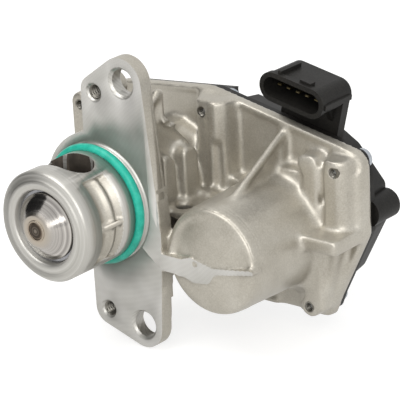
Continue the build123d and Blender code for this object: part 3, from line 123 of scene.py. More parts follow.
def streaks(tree, value, per_metre):
    """Noise along one value only, so that it runs in rings or bands of one tone."""
    inputs = {"W": maths(tree, "MULTIPLY", value, per_metre), "Scale": 1.0, "Detail": 3.0}
    return add(tree, "ShaderNodeTexNoise", inputs, noise_dimensions="1D").outputs["Fac"]


def start_material(name):
    """New node material: returns it, its tree, its shader and its Object coordinates."""
    material = bpy.data.materials.new(name)
    material.use_nodes = True
    tree = material.node_tree
    shader = tree.nodes["Principled BSDF"]
    coords = add(tree, "ShaderNodeTexCoord").outputs["Object"]
    return material, tree, shader, coords


def bump(tree, height, strength, depth_mm, normal=None):
    """Bumps a normal by a height of about depth_mm."""
    inputs = {"Height": height, "Strength": strength, "Distance": depth_mm * MM}
    if normal is not None:
        inputs["Normal"] = normal
    return add(tree, "ShaderNodeBump", inputs).outputs["Normal"]


def blend_colour(tree, factor, first, second):
    """Mixes two colours: the second one's share is the factor."""
    return add(tree, "ShaderNodeMix", {0: factor, 6: first, 7: second}, data_type="RGBA").outputs[2]


def maths(tree, operation, first, second=0.0):
    """Result of one sum on one or two values."""
    return add(tree, "ShaderNodeMath", {0: first, 1: second}, operation=operation).outputs[0]


def connect(tree, shader, colour, rough, normal):
    """Links colour, roughness and normal to the shader."""
    for socket, value in (("Base Color", colour), ("Roughness", rough), ("Normal", normal)):
        tree.links.new(value, shader.inputs[socket])


def radius_and_y(tree, coords, centre=(0.0, 0.0, 0.0)):
    """Distance from an axis along Y, and the place along that axis."""
    moved = add(tree, "ShaderNodeVectorMath", {0: coords, 1: centre}, operation="SUBTRACT").outputs[0]
    flat = add(tree, "ShaderNodeVectorMath", {0: moved, 1: (1.0, 0.0, 1.0)}, operation="MULTIPLY").outputs[0]
    length = add(tree, "ShaderNodeVectorMath", {0: flat}, operation="LENGTH").outputs["Value"]
    parts = add(tree, "ShaderNodeSeparateXYZ", {0: moved})
    return length, parts.outputs["Y"]


# ---------------------------------------------------------------- materials
def as_cast_aluminium(settings):
    """Die-cast aluminium, blasted: a matt warm grey skin with fine sparkling grain and broad stains."""
    material, tree, shader, coords = start_material("die_cast_aluminium_blasted")
    fine = grain(tree, coords, settings.grain_mm, 2.0, 0.6)
    clouds = grain(tree, coords, settings.stain_mm, 4.0, 0.6)
    tone = ramp(tree, clouds, [(0.32, "#A29D92"), (0.52, "#B1ACA1"), (0.70, "#BDB9AF")])
    speck = ramp(tree, fine, [(0.36, "#958F84"), (0.52, "#B1ACA1"), (0.68, "#CAC6BC")])
    colour = blend_colour(tree, 0.30, tone, speck)
    rough = span(tree, fine, 0.35, 0.7, 0.36, 0.52)
    normal = bump(tree, fine, 0.22, 0.06)
    normal = bump(tree, grain(tree, coords, 3.2, 3.0, 0.5), 0.16, 0.10, normal)
    connect(tree, shader, colour, rough, normal)
    shader.inputs["Metallic"].default_value = 0.68
    return material


def soot_and_shade_aluminium(settings):
    """Die-cast aluminium darkened to a dull brown-grey with cloudy blotches: partly soot of the exhaust gas,
    partly painted shade of the bores and ports it lies in.
    """
    material, tree, shader, coords = start_material("die_cast_aluminium_soot_and_painted_shade")
    clouds = grain(tree, coords, 5.0, 4.0, 0.6)
    colour = ramp(tree, clouds, [(0.30, "#37312B"), (0.52, "#4A433B"), (0.72, "#655C51")])
    rough = span(tree, clouds, 0.3, 0.7, 0.62, 0.78)
    normal = bump(tree, grain(tree, coords, settings.grain_mm, 2.0, 0.6), 0.25, 0.08)
    connect(tree, shader, colour, rough, normal)
    shader.inputs["Metallic"].default_value = 0.3
    return material


def milled_aluminium():
    """Fly-cut aluminium: bright flat face with wide faint cutter arcs."""
    material, tree, shader, coords = start_material("fly_cut_aluminium")
    tones = None
    height = None
    for centre, pitch in CUTTER_PASSES:
        length, _ = radius_and_y(tree, coords, centre)
        wobble = maths(tree, "MULTIPLY", grain(tree, coords, 9.0, 2.0), 0.0006)
        turn = maths(tree, "ADD", length, wobble)
        wave = maths(tree, "SINE", maths(tree, "MULTIPLY", turn, TURN / (pitch * MM)))
        tones = wave if tones is None else maths(tree, "MULTIPLY", tones, wave)
        height = wave if height is None else maths(tree, "ADD", height, wave)
    broad = grain(tree, coords, 17.0, 2.0, 0.5)
    mixed = maths(tree, "ADD", maths(tree, "MULTIPLY", tones, 0.04), broad)
    colour = ramp(tree, mixed, [(0.30, "#B2B0AA"), (0.50, "#C2C0BB"), (0.72, "#D0CECA")])
    rough = span(tree, broad, 0.3, 0.7, 0.50, 0.60)
    connect(tree, shader, colour, rough, bump(tree, height, 0.05, 0.008))
    shader.inputs["Metallic"].default_value = 0.6
    return material


def turned_aluminium(settings):
    """Turned aluminium: bright skin with feed rings round the valve axis, coarser than a real feed of 0.1 mm
    so that they can be seen."""
    material, tree, shader, coords = start_material("turned_aluminium")
    length, along = radius_and_y(tree, coords)
    feed = maths(tree, "ADD", length, along)
    rings = maths(tree, "SINE", maths(tree, "MULTIPLY", feed, TURN / (settings.feed_mm * MM)))
    streak = streaks(tree, feed, 900.0)
    mixed = maths(tree, "ADD", streak, maths(tree, "MULTIPLY", rings, 0.03))
    colour = ramp(tree, mixed, [(0.30, "#A9A7A1"), (0.50, "#B5B3AD"), (0.72, "#C1BFBA")])
    rough = span(tree, streak, 0.3, 0.7, 0.36, 0.50)
    connect(tree, shader, colour, rough, bump(tree, mixed, 0.06, 0.008))
    shader.inputs["Metallic"].default_value = 0.8
    return material


def moulded_cover_plastic():
    """Glass-filled polyamide, moulded: near-black with a faint warm cast and a spark-eroded texture."""
    material, tree, shader, coords = start_material("glass_filled_polyamide_moulded")
    fine = grain(tree, coords, 0.7, 2.0, 0.6)
    clouds = grain(tree, coords, 14.0, 4.0, 0.6)
    colour = ramp(tree, clouds, [(0.32, "#141311"), (0.55, "#1B1A18"), (0.72, "#24221F")])
    colour = blend_colour(tree, 0.25, colour, ramp(tree, fine, [(0.4, "#121110"), (0.65, "#302D29")]))
    rough = span(tree, clouds, 0.3, 0.7, 0.46, 0.58)
    normal = bump(tree, fine, 0.22, 0.08)
    connect(tree, shader, colour, rough, normal)
    shader.inputs["IOR"].default_value = 1.53
    shader.inputs["Specular IOR Level"].default_value = 0.2
    return material


def o_ring_rubber():
    """Fluorosilicone rubber, moulded: teal, soft gloss with a faint bloom."""
    material, tree, shader, coords = start_material("fluorosilicone_rubber_moulded")
    bloom = grain(tree, coords, 3.0, 4.0, 0.6)
    fine = grain(tree, coords, 0.5, 2.0, 0.5)
    colour = ramp(tree, bloom, [(0.30, "#189782"), (0.52, "#21AC95"), (0.74, "#3FBDA7")])
    rough = span(tree, bloom, 0.3, 0.7, 0.30, 0.44)
    connect(tree, shader, colour, rough, bump(tree, fine, 0.10, 0.03))
    shader.inputs["IOR"].default_value = 1.41
    shader.inputs["Sheen Weight"].default_value = 0.08
    return material


def polished_valve_steel():
    """Ground stainless steel: dark bright cone with fine rings, heat tint round the weld at its tip."""
    material, tree, shader, coords = start_material("ground_stainless_steel")
    length, along = radius_and_y(tree, coords)
    streak = streaks(tree, length, 1400.0)
    base = ramp(tree, streak, [(0.30, "#8F8B87"), (0.52, "#A5A19C"), (0.74, "#B8B4AF")])
    tint = ramp(tree, span(tree, length, 0.0, WELD_TINT_TO),
                [(0.0, "#7A7268"), (0.09, "#6E665D"), (0.13, "#332D29"), (0.20, "#5E564D"),
                 (0.27, "#37312B"), (0.36, "#4A4138"), (0.44, "#85786A"), (0.56, "#ACA294"),
                 (0.78, "#A7A096"), (1.0, "#A5A19C")])
    front = span(tree, along, *TINT_FADE, 1.0, 0.0)
    colour = blend_colour(tree, front, base, tint)
    rough = span(tree, streak, 0.3, 0.7, 0.13, 0.16)
    rough = maths(tree, "ADD", rough, maths(tree, "MULTIPLY", front, 0.16))
    connect(tree, shader, colour, rough, bump(tree, streak, 0.01, 0.002))
    shader.inputs["Metallic"].default_value = 1.0
    return material


def plain_metal(name, low, middle, high, roughness, size_mm):
    """Metal with a worked surface: three tones of one colour, grain of the tool that made it."""
    material, tree, shader, coords = start_material(name)
    fine = grain(tree, coords, size_mm, 3.0, 0.6)
    broad = grain(tree, coords, size_mm * 12.0, 3.0, 0.5)
    mixed = maths(tree, "ADD", maths(tree, "MULTIPLY", fine, 0.5), maths(tree, "MULTIPLY", broad, 0.5))
    colour = ramp(tree, mixed, [(0.34, low), (0.50, middle), (0.66, high)])
    rough = span(tree, fine, 0.3, 0.7, roughness * 0.85, roughness * 1.2)
    connect(tree, shader, colour, rough, bump(tree, fine, 0.15, 0.02))
    shader.inputs["Metallic"].default_value = 1.0
    return material


def plain_moulding(name, low, middle, high, roughness, size_mm, ior):
    """Moulded or pressed non-metal: three tones of one colour and its moulded grain."""
    material, tree, shader, coords = start_material(name)
    fine = grain(tree, coords, size_mm, 3.0, 0.6)
    broad = grain(tree, coords, size_mm * 14.0, 3.0, 0.5)
    mixed = maths(tree, "ADD", maths(tree, "MULTIPLY", fine, 0.4), maths(tree, "MULTIPLY", broad, 0.6))
    colour = ramp(tree, mixed, [(0.34, low), (0.50, middle), (0.66, high)])
    rough = span(tree, fine, 0.3, 0.7, roughness * 0.85, roughness * 1.15)
    connect(tree, shader, colour, rough, bump(tree, fine, 0.2, 0.05))
    shader.inputs["IOR"].default_value = ior
    return material


# name, dark, middle and light tone, roughness and grain in mm; mouldings have an index of refraction too
TAPPED_ALUMINIUM = ("tapped_aluminium", "#5E5B55", "#7A7770", "#96938B", 0.42, 0.4)
METALS = {
    "valve_steel": ("ground_stainless_steel_plain", "#8E8B88", "#A3A09C", "#B5B2AE", 0.24, 0.8),
    "hard_steel": ("hardened_steel_ground", "#77777A", "#8D8D90", "#A2A2A4", 0.26, 0.8),
    "spring_steel": ("spring_wire_drawn", "#4B4B4E", "#5E5E62", "#737377", 0.34, 0.7),
    "plated_steel": ("zinc_plated_steel", "#8A8F96", "#A2A7AD", "#B9BDC2", 0.30, 1.2),
    "copper": ("enamelled_copper_wire", "#8C4A22", "#A65C30", "#BE7748", 0.34, 0.6),
    # this brass is toned darker than tinned brass, as painted shade of the connector's mouth where the pins
    # sit
    "contact_brass": ("tinned_brass_strip_painted_shade", "#6E6446", "#83785A", "#988E72", 0.38, 0.7),
    "bronze": ("sintered_bronze", "#7C5E33", "#94734A", "#AC8C60", 0.48, 0.5),
}
MOULDINGS = {
    "gear_plastic": ("acetal_moulded", "#C9C1A8", "#D6CFB9", "#E2DCCB", 0.42, 0.8, 1.48),
    "cap_plastic": ("phenolic_moulded", "#191817", "#242322", "#302E2C", 0.46, 0.8, 1.56),
    "seal_rubber": ("nitrile_rubber_moulded", "#141414", "#1D1D1D", "#292828", 0.55, 0.6, 1.52),
    "gasket_rubber": ("acrylate_rubber_moulded", "#262626", "#323232", "#404040", 0.60, 0.6, 1.50),
    "carbon": ("carbon_brush_pressed", "#151515", "#202020", "#2E2E2E", 0.55, 0.4, 1.60),
    "ferrite": ("ferrite_sintered", "#222225", "#303034", "#3F3F44", 0.58, 0.5, 1.60),
    "board": ("glass_epoxy_board_masked", "#0E3F24", "#14512F", "#1D663D", 0.36, 1.2, 1.55),
}


# ---------------------------------------------------------------- mesh tools
def mesh_object(name, points, faces, material):
    """New object from arrays of points in metres and of faces."""
    mesh = bpy.data.meshes.new(name)
    mesh.from_pydata(points.tolist(), [], faces.tolist())
    mesh.validate()
    mesh.shade_smooth()
    mesh.materials.append(material)
    made = bpy.data.objects.new(name, mesh)
    bpy.context.scene.collection.objects.link(made)
    return made


def grid_faces(rows, columns, wrap_rows=False, wrap_columns=False):
    """Quads of a grid of points; a wrapped direction joins its last line to its first."""
    row = np.arange(rows if wrap_rows else rows - 1)
    column = np.arange(columns if wrap_columns else columns - 1)
    r, c = np.meshgrid(row, column, indexing="ij")
    r_next, c_next = (r + 1) % rows, (c + 1) % columns
    corners = (r * columns + c, r_next * columns + c, r_next * columns + c_next, r * columns + c_next)
    return np.stack(corners, -1).reshape(-1, 4)


def lathe(name, profile, material, segments, smooth_angle):
    """Surface of revolution about the valve's axis: the closed profile (radius, y) in mm is carried round the
    angle u, so that a point is (radius cos u, y, radius sin u)."""
    outline = np.array(profile, float)
    angle = np.linspace(0.0, TURN, segments, endpoint=False)
    radius, along = outline[:, 0][:, None], outline[:, 1][:, None]
    points = np.stack([radius * np.cos(angle), along + 0.0 * angle, radius * np.sin(angle)], -1)
    faces = grid_faces(len(outline), segments, True, True)
    made = mesh_object(name, points.reshape(-1, 3) * MM, faces, material)
    return tidy_shell(made, smooth_angle)


def tidy_shell(made, smooth_angle):
    """Merges doubles, turns the faces outwards and sets the sharp edges."""
    shell = bmesh.new()
    shell.from_mesh(made.data)
    bmesh.ops.remove_doubles(shell, verts=shell.verts, dist=WELD_WITHIN)
    bmesh.ops.dissolve_degenerate(shell, edges=shell.edges, dist=1e-7)
    bmesh.ops.recalc_face_normals(shell, faces=shell.faces)
    shell.to_mesh(made.data)
    shell.free()
    made.data.shade_smooth()
    made.data.set_sharp_from_angle(angle=math.radians(smooth_angle))
    return made


def coords_of(mesh):
    """Places of a mesh's points, in metres."""
    flat = np.empty(len(mesh.vertices) * 3)
    mesh.vertices.foreach_get("co", flat)
    return flat.reshape(-1, 3)


def normals_of(mesh):
    """Normals at a mesh's points."""
    flat = np.empty(len(mesh.vertices) * 3)
    mesh.vertex_normals.foreach_get("vector", flat)
    return flat.reshape(-1, 3)


def node_copy(node, name, cuts):
    """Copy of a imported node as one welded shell; each cut (axis, level, side) keeps one side of a plane and
    closes it."""
    shell = bmesh.new()
    shell.from_mesh(frame["nodes"][node].data)
    bmesh.ops.remove_doubles(shell, verts=shell.verts, dist=WELD_WITHIN)
    for axis, level, side in cuts:
        every = shell.verts[:] + shell.edges[:] + shell.faces[:]
        normal = Vector((0.0, 0.0, 0.0))
        normal[axis] = 1.0
        cut = bmesh.ops.bisect_plane(shell, geom=every, plane_co=normal * level * MM, plane_no=normal,
                                     clear_inner=side > 0, clear_outer=side < 0)
        rim = [edge for edge in cut["geom_cut"] if isinstance(edge, bmesh.types.BMEdge)]
        bmesh.ops.triangle_fill(shell, use_beauty=True, use_dissolve=False, edges=rim)
        bmesh.ops.recalc_face_normals(shell, faces=shell.faces)
    mesh = bpy.data.meshes.new(name)
    shell.to_mesh(mesh)
    shell.free()
    made = bpy.data.objects.new(name, mesh)
    bpy.context.scene.collection.objects.link(made)
    return made


def apply_modifiers(made):
    """Puts the mesh that the modifiers give in place of the object's own."""
    evaluated = made.evaluated_get(bpy.context.evaluated_depsgraph_get())
    mesh = bpy.data.meshes.new_from_object(evaluated)
    made.modifiers.clear()
    old = made.data
    made.data = mesh
    bpy.data.meshes.remove(old)


def even_out(made, voxel):
    """Rebuilds a closed shell on an even grid of the given voxel, in metres."""
    remesh = made.modifiers.new("even", "REMESH")
    remesh.mode = "VOXEL"
    remesh.voxel_size = voxel
    remesh.adaptivity = 0.0
    apply_modifiers(made)


def push(mesh, distance, weight):
    """Moves each point along its normal by distance * weight, in mm."""
    points = coords_of(mesh) + normals_of(mesh) * (distance * MM * weight)[:, None]
    mesh.vertices.foreach_set("co", points.ravel())
    mesh.update()


def soften(mesh, weight, passes):
    """Rounds a mesh: in each pass a point moves by weight * SOFTEN_SHARE towards its neighbours' mean."""
    count = len(mesh.vertices)
    pairs = np.empty(len(mesh.edges) * 2, dtype=np.int64)
    mesh.edges.foreach_get("vertices", pairs)
    a, b = pairs.reshape(-1, 2).T
    degree = np.maximum(np.bincount(a, minlength=count) + np.bincount(b, minlength=count), 1)[:, None]
    points = coords_of(mesh)
    for _ in range(passes):
        total = np.zeros_like(points)
        for axis in range(3):
            total[:, axis] = np.bincount(a, points[b, axis], count) + np.bincount(b, points[a, axis], count)
        points = points + (weight * SOFTEN_SHARE)[:, None] * (total / degree - points)
    mesh.vertices.foreach_set("co", points.ravel())
    mesh.update()


def dress(name, material):
    """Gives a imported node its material."""
    for slot in frame["nodes"][name].material_slots:
        slot.material = material


# ---------------------------------------------------------------- settings
class CastingSettings(bpy.types.PropertyGroup):
    """Sizes of the casting's skin and of its softened edges."""
    voxel: bpy.props.FloatProperty(
        name="Voxel", description="Grain of the softened casting's mesh",
        default=0.55 * MM, min=0.3 * MM, unit="LENGTH")
    end_voxel: bpy.props.FloatProperty(
        name="End voxel", description="Grain of the can's end",
        default=0.34 * MM, min=0.2 * MM, unit="LENGTH")
    fillet: bpy.props.FloatProperty(
        name="Fillet", description="Radius left in the casting's inner corners",
        default=0.9 * MM, min=0.0, unit="LENGTH")
    fillet_passes: bpy.props.IntProperty(
        name="Fillet passes", description="Passes that round the cast edges", default=8, min=0, max=60)
    grain_mm: bpy.props.FloatProperty(
        name="Blast grain", description="Size of the blasted skin's grain in mm", default=0.55)
    stain_mm: bpy.props.FloatProperty(
        name="Stain", description="Size of the broad stains in mm", default=16.0)
    feed_mm: bpy.props.FloatProperty(
        name="Turning feed", description="Pitch of the turned rings in mm", default=0.55)


class ValveSettings(bpy.types.PropertyGroup):
    """Sizes of the valve head and of the ring round the nose."""
    head_radius: bpy.props.FloatProperty(
        name="Head radius", description="Outer radius of the valve head", default=11.4 * MM, unit="LENGTH")
    weld_radius: bpy.props.FloatProperty(
        name="Weld radius", description="Radius of the weld bead on the tip", default=3.3 * MM, unit="LENGTH")
    ring_waviness: bpy.props.FloatProperty(
        name="Ring waviness", description="How far the ring strays from a true circle",
        default=0.07 * MM, unit="LENGTH")


class StudioSettings(bpy.types.PropertyGroup):
    """Level of the lamps and tone of the floor."""
    key_power: bpy.props.FloatProperty(
        name="Key lamp", description="Power of the lamp above", default=3.6, subtype="POWER")
    fill_power: bpy.props.FloatProperty(
        name="Fill lamp", description="Power of the lamp on the right", default=3.8, subtype="POWER")
    floor_colour: bpy.props.FloatVectorProperty(
        name="Floor", description="Colour of the floor", subtype="COLOR",
        size=4, default=linear("#A5A4A2"), min=0.0, max=1.0)


# ---------------------------------------------------------------- the casting
# Places and radii are in mm in the part's frame: the flange face is y = 0, and the valve's axis is x = z = 0.
SOFT_FROM = 2.6      # the softened casting starts this far behind the flange face
CRISP_TO = 4.0       # the crisp front ends here
CRISP_X = 25.0       # and here towards the motor can
OVERLAP = 1.0        # the can's end piece starts this far before it
END_TO = 6.6         # and is carried back to here
BOSS_FRONT = 34.0    # front of the screw bosses
SEAL_FACE = 45.0     # milled face at the back, where the cover's seal lies
THREAD_SPOTS = ((0.0, 38.0), (0.0, -39.0))
BOLT_SPOTS = ((12.2, 43.2), (15.4, -41.3))
SCREW_SPOTS = ((-39.0, 17.2), (17.0, 24.3), (71.2, 12.9), (59.2, -37.0), (8.5, -35.2), (-31.0, -17.0))
MOTOR_AXIS = (44.5, -13.0)
MOTOR_BORE_R = 17.0  # the motor can's bore lies inside this radius
VALVE_BORE_R = 15.0  # and the bores on the valve's axis inside this one
NOSE_R = 19.0
NOSE_REACH = 21.5    # turned round the nose as far as this radius
NOSE_BORE_R = 12.4   # the nose is bored out inside this
SOOT_AND_SHADE_R = 12.9         # the nose is darkened inside this radius: soot of the gas, and painted shade in its bore
SOOT_AND_SHADE_Y = (-21.5, 2.0)
WAIST_Y = (-20.9, -10.1)      # the nose's waist, left as cast: span along Y and radii
WAIST_R = (16.0, 18.6)
PORT_MIDDLE = (-1.4, -14.2)   # oval gas ports in the nose: middle and size along X and Y
PORT_SIZE = (21.4, 13.2)
PORT_MARGIN = 0.3
THREAD_REACH = 3.6   # machined round the axes of the threads and of the bolt holes
BOLT_REACH = 5.7
DRILLED_TO = 6.4     # and as far along Y as this
THREAD_STILL = 3.3   # round these holes the skin isn't moved, within these radii
SCREW_STILL = 2.2
BAR_EDGE = -11.5     # the can's end is rounded more above this height
RAW, FLY_CUT, TURNED, SOOT_AND_SHADE = range(4)      # the casting's four finishes; the fourth is dark soot with painted shade
SHARP_ANGLES = (38.0, 50.0, 60.0)            # of front, can's end and rest, in degrees
PIECE_TRIANGLES = (45000.0, 125000.0)        # of can's end and rest
FLANGE_THREAD = {"ends": (0.9, 10.4), "crest": 2.10, "root": 2.57, "outer": 2.59, "pitch": 1.0}
BOSS_THREAD = {"ends": (BOSS_FRONT - 0.04, 36.2), "crest": 1.25, "root": 1.56, "outer": 2.05, "pitch": 0.8}


def polygon_arrays(mesh):
    """Centres of a mesh's faces, in mm, and their normals."""
    centres = np.empty(len(mesh.polygons) * 3)
    normals = np.empty(len(mesh.polygons) * 3)
    mesh.polygons.foreach_get("center", centres)
    mesh.polygons.foreach_get("normal", normals)
    return centres.reshape(-1, 3) / MM, normals.reshape(-1, 3)


def near_spots(points, spots, reach):
    """True where a point lies within reach of one of the axes along Y."""
    found = np.zeros(len(points), bool)
    for x, z in spots:
        found |= np.hypot(points[:, 0] - x, points[:, 2] - z) < reach
    return found


def finish_slots(mesh):
    """Finish of each face: RAW, FLY_CUT, TURNED, which takes in the drilled holes, or a dark finish of soot
    and painted shade on the bores and the walls of the ports. The fly-cut faces look forwards, and the walls
    of the ports look sideways."""
    centres, normals = polygon_arrays(mesh)
    radius = np.hypot(centres[:, 0], centres[:, 2])
    y = centres[:, 1]
    index = np.full(len(centres), RAW, np.int32)
    flat = (np.abs(y) < 0.12) & (normals[:, 1] < -0.96)
    index[flat] = FLY_CUT
    waist = (y > WAIST_Y[0]) & (y < WAIST_Y[1]) & (radius > WAIST_R[0]) & (radius < WAIST_R[1])
    nose = (y < 0.6) & (radius > NOSE_BORE_R) & (radius < NOSE_REACH) & ~waist
    index[nose] = TURNED
    across = np.abs(centres[:, 0] - PORT_MIDDLE[0])
    port = (radius < NOSE_R - 0.1) & (np.abs(centres[:, 2]) > 9.0) & (across < PORT_SIZE[0] / 2 + PORT_MARGIN)
    port &= np.abs(y - PORT_MIDDLE[1]) < PORT_SIZE[1] / 2 + PORT_MARGIN
    port &= (np.abs(normals[:, 2]) < 0.4) & ((np.abs(normals[:, 1]) < 0.9) | (across < 5.0))
    # the bores and port walls are darkened: soot of the gas, and painted shade of the recesses
    soot_and_shade_side = (radius < SOOT_AND_SHADE_R) & (y > SOOT_AND_SHADE_Y[0]) & (y < SOOT_AND_SHADE_Y[1])
    index[port | soot_and_shade_side] = SOOT_AND_SHADE
    drilled = near_spots(centres, THREAD_SPOTS, THREAD_REACH) | near_spots(centres, BOLT_SPOTS, BOLT_REACH)
    index[drilled & ~flat & (y < DRILLED_TO)] = TURNED
    return index


def round_can_end(end, voxel):
    """Rounds the motor can's end, but for its machined face, its cut edges and the foot of its bar."""
    even_out(end, voxel)
    x, y, z = (coords_of(end.data) / MM).T
    free = np.clip((y - 0.1) / 0.2, 0.0, 1.0) * np.clip((END_TO - 0.3 - y) / 1.0, 0.0, 1.0)
    free *= np.clip((x - CRISP_X - 0.3) / 1.0, 0.0, 1.0)
    soften(end.data, free, 20)
    soften(end.data, free * np.clip((z - BAR_EDGE) / 2.0, 0.0, 1.0), 60)


def round_rest(rest, settings):
    """Fills the inner corners by pushing the skin outwards by the fillet radius, rebuilding it and pulling it
    back, then rounds all corners, sinks the skin under the two front shells and flattens the seal's face."""
    even_out(rest, settings.voxel)
    for distance in (settings.fillet / MM, -settings.fillet / MM):
        push(rest.data, distance, skin_weight(coords_of(rest.data) / MM, 0.0))
        even_out(rest, settings.voxel)
    mesh = rest.data
    soften(mesh, skin_weight(coords_of(mesh) / MM, 0.15), settings.fillet_passes)
    x, y, _ = (coords_of(mesh) / MM).T
    under = y < np.where(x < CRISP_X, CRISP_TO, END_TO) + 0.4
    push(mesh, -0.06, under.astype(float))
    points = coords_of(mesh)
    seal = np.abs(points[:, 1] / MM - SEAL_FACE) < 0.35
    points[seal, 1] = SEAL_FACE * MM
    mesh.vertices.foreach_set("co", points.ravel())
    mesh.update()


def make_casting(settings):
    """Casting in three shells: a crisp machined front, the motor can's end with its bar and the soft rest."""
    front = node_copy("valve_housing", "casting_front", [(1, CRISP_TO, -1), (0, CRISP_X, -1)])
    end = node_copy("valve_housing", "casting_end", [(1, END_TO, -1), (0, CRISP_X - OVERLAP, 1)])
    rest = node_copy("valve_housing", "casting_rest", [(1, SOFT_FROM, 1)])
    round_can_end(end, settings.end_voxel)
    round_rest(rest, settings)
    for part, triangles in zip((end, rest), PIECE_TRIANGLES):
        limit = part.modifiers.new("fewer", "DECIMATE")
        limit.ratio = min(1.0, triangles / (2.0 * len(part.data.polygons)))
        apply_modifiers(part)
    return front, end, rest


def skin_weight(points, inside):
    """How freely each point of the softened casting may move: not at all in holes and where it meets the
    front, and by the given share in the bores."""
    x, y, z = points.T
    start = np.where(x < CRISP_X + OVERLAP, CRISP_TO + 0.5, END_TO + 0.4)
    weight = np.clip((y - start) / 1.2, 0.0, 1.0)
    in_can = (np.hypot(x - MOTOR_AXIS[0], z - MOTOR_AXIS[1]) < MOTOR_BORE_R) & (y > 5.0)
    bores = (np.hypot(x, z) < VALVE_BORE_R) | in_can
    weight[bores] = np.minimum(weight[bores], inside)
    weight[near_spots(points, THREAD_SPOTS, THREAD_STILL) & (y < 12.0)] = 0.0
    weight[near_spots(points, SCREW_SPOTS, SCREW_STILL)] = 0.0
    return weight * (1.0 - np.clip((y - SEAL_FACE + 1.8) / 0.8, 0.0, 1.0))


def threaded_lining(name, spot, material, ends, crest, root, outer, pitch):
    """Threaded sleeve about an axis along Y: inside, the radius swings between crest and root as a triangle
    wave of y / pitch - u / 2 pi, with u the angle round the axis; outside it is a plain cylinder."""
    start, stop = ends
    rows = int((stop - start) / pitch * 8.0) + 1
    angle = np.linspace(0.0, TURN, 40, endpoint=False)[None, :]
    along = np.linspace(start, stop, rows)[:, None]
    turn = np.mod(along / pitch - angle / TURN, 1.0)
    radius = crest + (root - crest) * np.abs(2.0 * turn - 1.0)
    outside = np.full_like(angle, outer)
    radius = np.vstack([np.full_like(angle, root), radius[1:], outside, outside])
    along = np.vstack([along, [[stop]], [[start]]]) + 0.0 * angle
    points = np.stack([spot[0] + radius * np.cos(angle), along, spot[1] + radius * np.sin(angle)], -1)
    faces = grid_faces(rows + 2, 40, True, True)
    sleeve = mesh_object(name, points.reshape(-1, 3) * MM, faces, material)
    tidy_shell(sleeve, 50.0)
    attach(sleeve, "housing")


def join_parts(name, parts):
    """Joins objects into the first one and names it."""
    bpy.ops.object.select_all(action="DESELECT")
    for part in parts:
        part.select_set(True)
    bpy.context.view_layer.objects.active = parts[0]
    bpy.ops.object.join()
    parts[0].name = name
    parts[0].data.name = name
    return parts[0]


class VALVE_OT_casting(bpy.types.Operator):
    """Build the cast body with its machined flange face and turned nose"""
    bl_idname = "valve.casting"
    bl_label = "Cast body"

    def execute(self, context):
        settings = context.scene.casting
        finishes = (as_cast_aluminium(settings), milled_aluminium(), turned_aluminium(settings),
                    soot_and_shade_aluminium(settings))      # in the order RAW, FLY_CUT, TURNED, then the soot with painted shade
        parts = make_casting(settings)
        for part, sharp in zip(parts, SHARP_ANGLES):
            part.data.materials.clear()
            for material in finishes:
                part.data.materials.append(material)
            part.data.polygons.foreach_set("material_index", finish_slots(part.data))
            part.data.shade_smooth()
            part.data.set_sharp_from_angle(angle=math.radians(sharp))
        casting = join_parts("valve_casting", parts)
        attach(casting, "housing")
        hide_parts("valve_housing")
        tapped = plain_metal(*TAPPED_ALUMINIUM)
        for number, spot in enumerate(THREAD_SPOTS):
            threaded_lining(f"flange_thread_{number}", spot, tapped, **FLANGE_THREAD)
        for number, spot in enumerate(SCREW_SPOTS):
            threaded_lining(f"boss_thread_{number}", spot, tapped, **BOSS_THREAD)
        return {"FINISHED"}


# ---------------------------------------------------------------- ring, head and weld
RING_R = 19.35       # middle line of the nose ring; places and radii are in mm, as above
RING_WIRE_R = 1.6
RING_Y = -2.9
STEM_R = 3.03        # the head is bored to this for its stem
HEAD_TIP = -31.9
HEAD_BACK = -26.5
NECK_R = 5.2
NECK_BACK = -21.5
WELD_WIRE = (0.42, 0.16)      # half width and half height of the weld bead's section
WELD_Y = -31.98


def wire_ring(radius, along, steps, section_steps):
    """Points and faces of a closed ring: a point is (radius cos u, along, radius sin u), where radius and
    along are functions of the angle u round the valve's axis and of the angle v round the ring's section."""
    around = np.linspace(0.0, TURN, steps, endpoint=False)[:, None]
    section = np.linspace(0.0, TURN, section_steps, endpoint=False)[None, :]
    r, y = radius(around, section), along(around, section)
    points = np.stack([r * np.cos(around), y, r * np.sin(around)], -1).reshape(-1, 3) * MM
    return points, grid_faces(steps, section_steps, True, True)


def make_nose_ring(waviness):
    """Rubber ring: a circle carried round the nose, whose centre strays by a small sum of sines of the angle,
    as a stretched ring lies in its groove."""
    def stray(u):
        return waviness * (np.sin(3.0 * u + 0.6) + 0.6 * np.sin(5.0 * u + 2.0))

    def radius(u, v):
        return RING_R + 0.35 * stray(u) + RING_WIRE_R * np.cos(v)

    def along(u, v):
        return RING_Y + 0.5 * stray(u) + RING_WIRE_R * np.sin(v)

    return wire_ring(radius, along, 220, 28)


def make_weld_bead(bead_radius):
    """Weld bead: a flat oval carried round the stem, whose size ripples with the angle."""
    def ripple(u):
        return 1.0 + 0.10 * np.sin(22.0 * u) + 0.06 * np.sin(5.0 * u + 1.0)

    def radius(u, v):
        return bead_radius + WELD_WIRE[0] * np.cos(v) * ripple(u)

    def along(u, v):
        return WELD_Y + WELD_WIRE[1] * np.sin(v) * ripple(u)

    return wire_ring(radius, along, 144, 14)


def head_profile(rim):
    """Closed profile (radius, y) of the head. Points close to the cone's ends keep its shading straight."""
    tip = [(STEM_R, HEAD_TIP + 0.04), (5.0, HEAD_TIP), (5.25, HEAD_TIP + 0.04), (5.5, -31.74)]
    cone = [(5.8, -31.5), (6.05, -31.3), (rim - 0.9, -27.7), (rim - 0.65, -27.5)]
    edge = [(rim - 0.35, -27.3), (rim - 0.1, -27.15), (rim, -26.95), (rim, -26.6), (rim - 0.06, HEAD_BACK)]
    back = [(11.03, HEAD_BACK), (9.2, -24.37), (7.0, -23.77)]
    neck = [(NECK_R, -22.37), (NECK_R, NECK_BACK), (STEM_R, NECK_BACK)]
    return tip + cone + edge + back + neck


